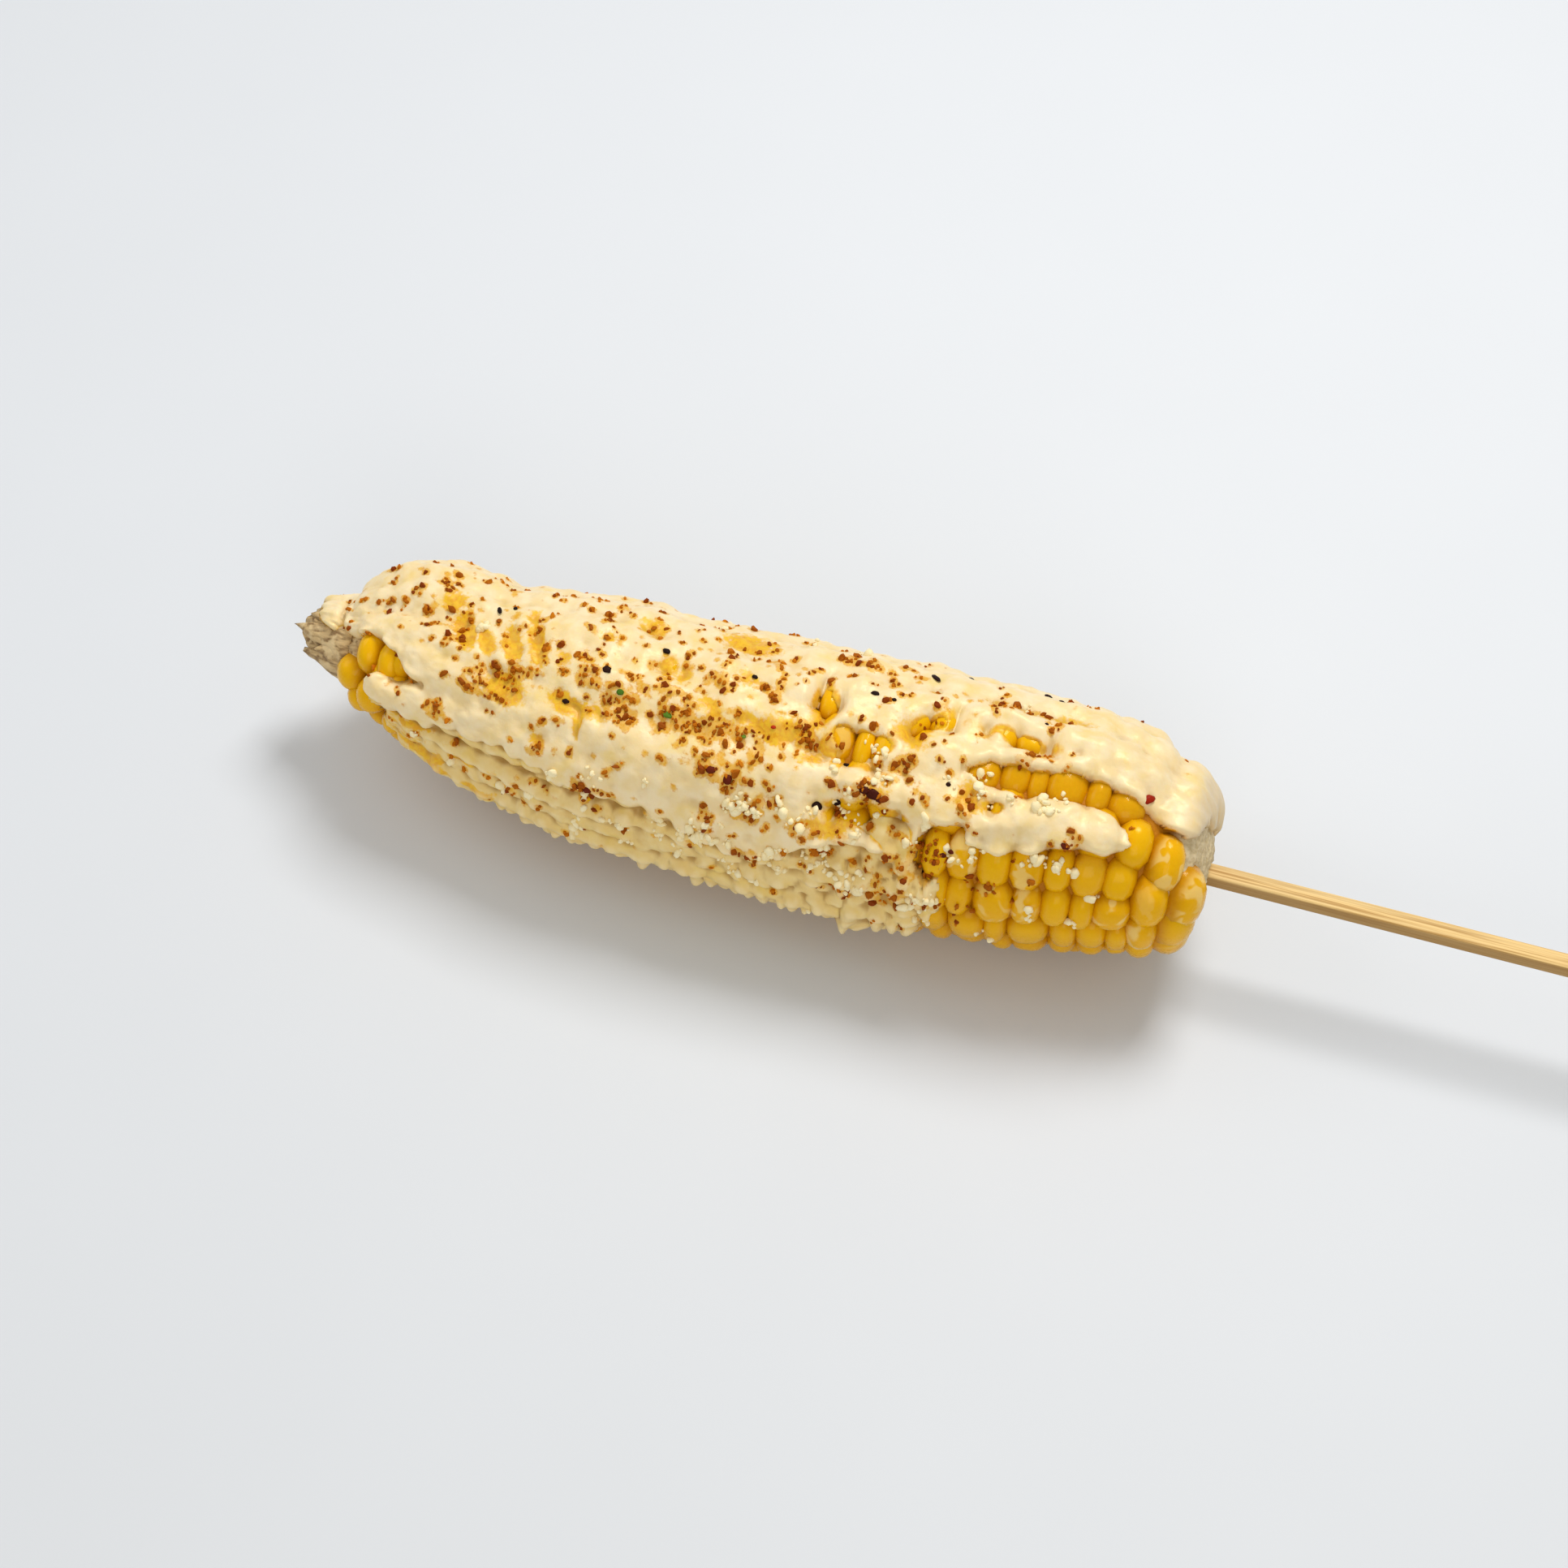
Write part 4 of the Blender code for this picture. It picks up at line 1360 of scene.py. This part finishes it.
def bract_strip(ear, angle, half_width, end, flare):
    """One pointed husk leaf as a thin closed strip: its points and faces."""
    long, wide, root = 9, 5, 12.5
    share, side = np.meshgrid(np.linspace(0, 1, long), np.linspace(-1, 1, wide), indexing="ij")
    along = root + (end - root) * share
    taper = np.sqrt(np.maximum(1 - share**1.6, 0.0)) * (1 - 0.35 * share) + 0.03
    turn = np.radians(angle + half_width * side * taper)
    reach = np.interp(along, COB_STATIONS, COB_RADII) * (1 - 0.15 * share) + 0.3
    reach = reach + flare * share**2 - 0.5 * side**2 + 0.25 * np.sin(9.0 * share + angle)
    sheets = [ear.point(along, turn, reach + lift) for lift in (0.25, -0.25)]
    points = np.concatenate([sheet.reshape(-1, 3) for sheet in sheets])
    index = np.arange(long * wide).reshape(long, wide)
    top = np.stack((index[:-1, :-1], index[:-1, 1:], index[1:, 1:], index[1:, :-1]), -1)
    top = top.reshape(-1, 4)
    loop = np.concatenate((index[0, :-1], index[:-1, -1], index[-1, :0:-1], index[:0:-1, 0]))
    following = np.roll(loop, -1)
    count = long * wide
    rim = np.stack((following, loop, loop + count, following + count), -1)
    return points, np.concatenate((top, top[:, ::-1] + count, rim))


def build_cob(scene):
    """The core's body with its fibrous tip and the butt's dome."""
    ear, _, _, _ = ear_model()
    around, lengthwise = 96, 420
    angles = np.linspace(-math.pi, math.pi, around, endpoint=False)
    runs = np.linspace(0.0, ear.length, lengthwise)
    run, angle = np.meshgrid(runs, angles, indexing="ij")
    along, radius, _, _ = ear.at(run)
    sink = smooth_step(along, 13.0, 17.0) * (1 - smooth_step(along, 172.5, 175.5))
    height = -0.5 - 2.3 * sink
    fibre = value_noise(along * 0.22, angle * 9.0, *COB_FIBRE)
    tip = 1 - smooth_step(along, 10.0, 16.0)
    height += tip * (0.6 * value_noise(along, angle * 6.0, *TIP_LUMPS) + 0.4 * fibre - 0.6)
    butt = smooth_step(along, 172.0, 175.0)
    rings = np.sin(radius * 3.1 + 0.8 * value_noise(along, angle * 5.0, *BUTT_LUMPS))
    height += butt * (0.18 * fibre + 0.10 * rings)
    height -= 0.9 * butt * smooth_step(4.5 - radius, 0.0, 3.5)
    points = ear.place(run, angle, height).reshape(-1, 3)
    index = np.arange(lengthwise * around).reshape(lengthwise, around)
    following = np.roll(index, -1, axis=1)
    faces = np.stack((index[:-1], following[:-1], following[1:], index[1:]), -1).reshape(-1, 4)
    flesh, butt = sink.ravel(), butt.ravel()
    for bract in BRACTS:
        strip, strip_faces = bract_strip(ear, *bract)
        faces = np.concatenate((faces, strip_faces + len(points)))
        points = np.concatenate((points, strip))
        flesh = np.concatenate((flesh, np.zeros(len(strip))))
        butt = np.concatenate((butt, np.zeros(len(strip))))
    mesh = bpy.data.meshes.new("cob_detail")
    mesh.from_pydata((points * MM).tolist(), [], faces.tolist())
    store(mesh, "flesh", flesh)
    store(mesh, "butt", butt)
    shape = bmesh.new()
    shape.from_mesh(mesh)
    bmesh.ops.remove_doubles(shape, verts=shape.verts, dist=0.01 * MM)
    bmesh.ops.holes_fill(shape, edges=[edge for edge in shape.edges if edge.is_boundary])
    bmesh.ops.recalc_face_normals(shape, faces=shape.faces)
    shape.to_mesh(mesh)
    shape.free()
    item = add_object("cob_detail", mesh, cob_material(scene.elote_kernels.deep_color))
    declare(item, "cob", "cob")


def build_stick():
    """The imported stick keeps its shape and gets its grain."""
    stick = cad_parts["stick"]
    stick.data.materials.clear()
    stick.data.materials.append(stick_material())


def surface_points(run, angle, height_extra):
    """Points in mm just over the top surface."""
    ear, _, surfaces, _ = ear_model()
    height = surfaces.sample(surfaces.top, run, angle)
    return ear.place(run, angle, height + height_extra)


def build_chili(scene):
    """Ground chili, as grains of uneven size."""
    _, _, _, chili = ear_model()
    sprinkles = scene.elote_sprinkles
    draw = np.random.default_rng(sprinkles.seed + 1)
    count = chili["run"].size
    points = surface_points(chili["run"], chili["angle"], chili["size"] * 0.05)
    turns = draw.uniform(-math.pi, math.pi, (count, 3))
    stretch = draw.uniform((0.8, 0.7, 0.5), (1.5, 1.1, 0.9), (count, 3))
    shapes = [lump_shape(f"grain_{seed}", seed, 1 + seed % 2, 0.24) for seed in range(4)]
    material = grain_material("chili_grain", sprinkles.chili_light, sprinkles.chili_dark)
    item = scatter(
        "chili_grains", shapes, material, points, turns, stretch * chili["size"][:, None],
        draw.integers(0, 4, count), chili["tone"], smooth=False,
    )
    declare(item, "chili")


def build_cheese(scene):
    """Crumbled white cheese."""
    ear, _, _, _ = ear_model()
    sprinkles = scene.elote_sprinkles
    draw = np.random.default_rng(sprinkles.seed + 2)
    along, angle = draw_cluster_points(draw, CHEESE_CLUSTERS, sprinkles.cheese_count)
    along, angle = add_companions(draw, along, angle, *CHEESE_CLUMP)
    count = along.size
    size = np.minimum(0.30 + 0.26 * draw.exponential(1.0, count), 1.15)
    points = surface_points(ear.run_at(along), angle, size * 0.2)
    turns = draw.uniform(-math.pi, math.pi, (count, 3))
    stretch = draw.uniform((0.8, 0.7, 0.55), (1.4, 1.1, 0.9), (count, 3))
    shapes = [lump_shape(f"crumb_{seed}", 20 + seed, 2, 0.17) for seed in range(4)]
    material = grain_material("cheese_crumb", sprinkles.cheese_color, DRY_CHEESE, 0.7)
    item = scatter(
        "cheese_crumbs", shapes, material, points, turns, stretch * size[:, None],
        draw.integers(0, 4, count), draw.uniform(0.4, 1.0, count),
    )
    declare(item, "cheese")


# Single specks: distance, angle, half length, half width, turn in degrees.
CHARRED = (
    (41.5, -12, 1.1, 0.45, 60), (44.2, -15.5, 0.6, 0.4, 70), (75, -7.5, 0.8, 0.6, 30),
    (92.4, -5, 0.65, 0.45, 20), (114.5, -9.5, 0.8, 0.5, 0), (118.2, -8, 0.45, 0.4, 0),
    (113.3, 26, 0.85, 0.5, 0), (113.2, 43, 0.95, 0.8, 0), (109.7, 47, 1.15, 0.95, 10),
    (123.6, -31, 1.5, 0.6, 50), (129.5, -40, 0.9, 0.45, 60), (145.8, -15, 0.35, 0.3, 0),
    (144, -40, 0.9, 0.5, 30), (146.6, -41, 0.6, 0.4, 20), (60, 29, 0.7, 0.5, 0),
    (132.2, 24.5, 0.5, 0.4, 0), (66.2, 11, 0.9, 0.7, 20),
)
HERBS = ((69.8, 19, 0.75, 0.6, 0), (79.2, 22.5, 1.1, 0.6, 15), (94, 24, 0.45, 0.35, 0))
RED_FLAKES = ((167, 5.5, 1.5, 0.85, -38), (98.9, 17.5, 0.5, 0.35, 0))
BURNT_CLUMP = (
    (119.6, 36, 1.5, 1.0, 10), (118.0, 35, 0.9, 0.7, 0), (120.8, 37.5, 0.7, 0.5, 40),
    (134.0, 55, 0.9, 0.5, 10), (135.5, 53, 0.6, 0.4, 0), (154.8, 40, 0.8, 0.6, 20),
    (93.4, 43, 1.0, 0.9, 80), (90.2, 40.5, 0.9, 0.7, 0), (67.2, 66, 1.0, 0.8, 20),
)

# Each kind of fleck: piece, slot, places, light and dark colour, thickness, roughness.
FLECKS = (
    ("charred_specks", "charred", CHARRED, (0.030, 0.009, 0.006), (0.010, 0.004, 0.003), 0.22, 0.5),
    ("herb_bits", "herb", HERBS, (0.16, 0.30, 0.03), (0.05, 0.14, 0.01), 0.2, 0.5),
    ("red_flakes", "chili", RED_FLAKES, (0.50, 0.035, 0.008), (0.30, 0.015, 0.004), 0.2, 0.3),
    ("burnt_chili", "chili", BURNT_CLUMP, (0.16, 0.02, 0.006), (0.04, 0.006, 0.003), 0.35, 0.5),
)


def build_flecks(name, slot, table, light, dark, thickness, roughness):
    """A few larger flecks laid on the surface."""
    ear, _, _, _ = ear_model()
    rows = np.array(table, float)
    run, angle = ear.run_at(rows[:, 0]), np.radians(rows[:, 1])
    points = surface_points(run, angle, thickness * 0.4)
    turns, scales = [], []
    for r, a, (_, _, half_long, half_wide, turn) in zip(run, angle, rows):
        spin = Matrix.Rotation(-math.radians(turn), 3, "Z")
        turns.append(euler(ear.frame_at(r, a) @ spin))
        scales.append((half_long, half_wide, max(thickness, 0.5 * half_wide)))
    shapes = [lump_shape(f"{name}_{seed}", 40 + seed, 2, 0.16) for seed in range(3)]
    item = scatter(
        name, shapes, grain_material(name + "_look", light, dark, roughness), points, turns,
        scales, np.arange(len(rows)) % 3, np.linspace(0.2, 0.8, len(rows)),
    )
    declare(item, slot)


# Soft lights, in metres: name, place, size, power and colour.
LIGHTS = (
    ("key", (0.07, 0.37, 0.72), 0.30, 4.0, (1.0, 0.985, 0.96)),
    ("side", (-0.60, 0.05, 0.45), 0.40, 0.7, (0.95, 0.97, 1.0)),
    ("front", (0.20, -0.65, 0.50), 0.50, 1.6, (1.0, 0.97, 0.90)),
)
LIT_POINT = (-0.045, 0.0, 0.02)
VIEWED_POINT = (-0.0454, -0.0040, AXIS_Z * MM)
WORLD_COLOR, WORLD_STRENGTH = (1.0, 0.965, 0.89, 1.0), 0.43


def build_stage(scene):
    """Floor, soft light and camera."""
    stage = scene.elote_stage
    bpy.ops.mesh.primitive_plane_add(size=6.0)
    floor = bpy.context.object
    floor.name = "floor"
    floor.data.materials.append(floor_material(stage.floor_color))
    scene.world = scene.world or bpy.data.worlds.new("studio")
    scene.world.use_nodes = True
    background = scene.world.node_tree.nodes["Background"]
    background.inputs["Color"].default_value = WORLD_COLOR
    background.inputs["Strength"].default_value = WORLD_STRENGTH
    for name, place, size, power, color in LIGHTS:
        light = bpy.data.lights.new(name, "AREA")
        light.size = size
        light.energy = power
        light.color = color
        lamp = bpy.data.objects.new(name, light)
        scene.collection.objects.link(lamp)
        lamp.location = place
        aim = Vector(LIT_POINT) - lamp.location
        lamp.rotation_euler = aim.to_track_quat("-Z", "Y").to_euler()
    turn, tilt = stage.azimuth, stage.elevation
    back = Vector((
        math.sin(turn) * math.cos(tilt), -math.cos(turn) * math.cos(tilt), math.sin(tilt)
    ))
    camera = bpy.data.objects.new("camera", bpy.data.cameras.new("camera"))
    scene.collection.objects.link(camera)
    camera.data.sensor_width = 36.0
    camera.data.lens = 18.0 / math.tan(stage.view_angle / 2)
    camera.data.clip_start = 0.01
    camera.location = Vector(VIEWED_POINT) + back * stage.distance
    camera.rotation_euler = (-back).to_track_quat("-Z", "Y").to_euler()
    scene.camera = camera
    scene.view_settings.view_transform = "Standard"


# --------------------------------------------------------------------------
# Operators, panel and registration
# --------------------------------------------------------------------------

class ELOTE_OT_kernels(bpy.types.Operator):
    """Build the kernels"""

    bl_idname = "elote.kernels"
    bl_label = "Kernels"

    def execute(self, context):
        build_kernels(context.scene)
        return {"FINISHED"}


class ELOTE_OT_cream(bpy.types.Operator):
    """Build the cream sauce"""

    bl_idname = "elote.cream"
    bl_label = "Cream"

    def execute(self, context):
        build_cream(context.scene)
        return {"FINISHED"}


class ELOTE_OT_cob(bpy.types.Operator):
    """Build the cob's tip and butt"""

    bl_idname = "elote.cob"
    bl_label = "Cob"

    def execute(self, context):
        build_cob(context.scene)
        return {"FINISHED"}


class ELOTE_OT_stick(bpy.types.Operator):
    """Give the stick its wood"""

    bl_idname = "elote.stick"
    bl_label = "Stick"

    def execute(self, context):
        build_stick()
        return {"FINISHED"}


class ELOTE_OT_sprinkles(bpy.types.Operator):
    """Sprinkle chili and cheese"""

    bl_idname = "elote.sprinkles"
    bl_label = "Chili and cheese"

    def execute(self, context):
        build_chili(context.scene)
        build_cheese(context.scene)
        return {"FINISHED"}


class ELOTE_OT_flecks(bpy.types.Operator):
    """Lay on charred specks, herb bits and chili flakes"""

    bl_idname = "elote.flecks"
    bl_label = "Specks and flakes"

    def execute(self, context):
        for fleck in FLECKS:
            build_flecks(*fleck)
        return {"FINISHED"}


class ELOTE_OT_stage(bpy.types.Operator):
    """Set the floor, the light and the camera"""

    bl_idname = "elote.stage"
    bl_label = "Stage"

    def execute(self, context):
        build_stage(context.scene)
        return {"FINISHED"}


OPERATORS = (
    ELOTE_OT_kernels,
    ELOTE_OT_cream,
    ELOTE_OT_cob,
    ELOTE_OT_stick,
    ELOTE_OT_sprinkles,
    ELOTE_OT_flecks,
    ELOTE_OT_stage,
)


class ELOTE_PT_panel(bpy.types.Panel):
    """The elote's steps and settings"""

    bl_idname = "ELOTE_PT_panel"
    bl_label = "Elote"
    bl_space_type = "VIEW_3D"
    bl_region_type = "UI"
    bl_category = "Elote"

    def draw(self, context):
        column = self.layout.column()
        for operator in OPERATORS:
            column.operator(operator.bl_idname)


SETTINGS = {
    "elote_kernels": KernelSettings,
    "elote_cream": CreamSettings,
    "elote_sprinkles": SprinkleSettings,
    "elote_stage": StageSettings,
}


def register():
    """Register the settings, operators and panel."""
    for name, group in SETTINGS.items():
        bpy.utils.register_class(group)
        setattr(bpy.types.Scene, name, bpy.props.PointerProperty(type=group))
    for item in (*OPERATORS, ELOTE_PT_panel):
        bpy.utils.register_class(item)


def unregister():
    """Undo register."""
    for item in reversed((*OPERATORS, ELOTE_PT_panel)):
        bpy.utils.unregister_class(item)
    for name, group in SETTINGS.items():
        delattr(bpy.types.Scene, name)
        bpy.utils.unregister_class(group)


def main():
    """Build everything."""
    register()
    for operator in OPERATORS:
        group, name = operator.bl_idname.split(".")
        getattr(getattr(bpy.ops, group), name)()


if __name__ == "__main__":
    main()
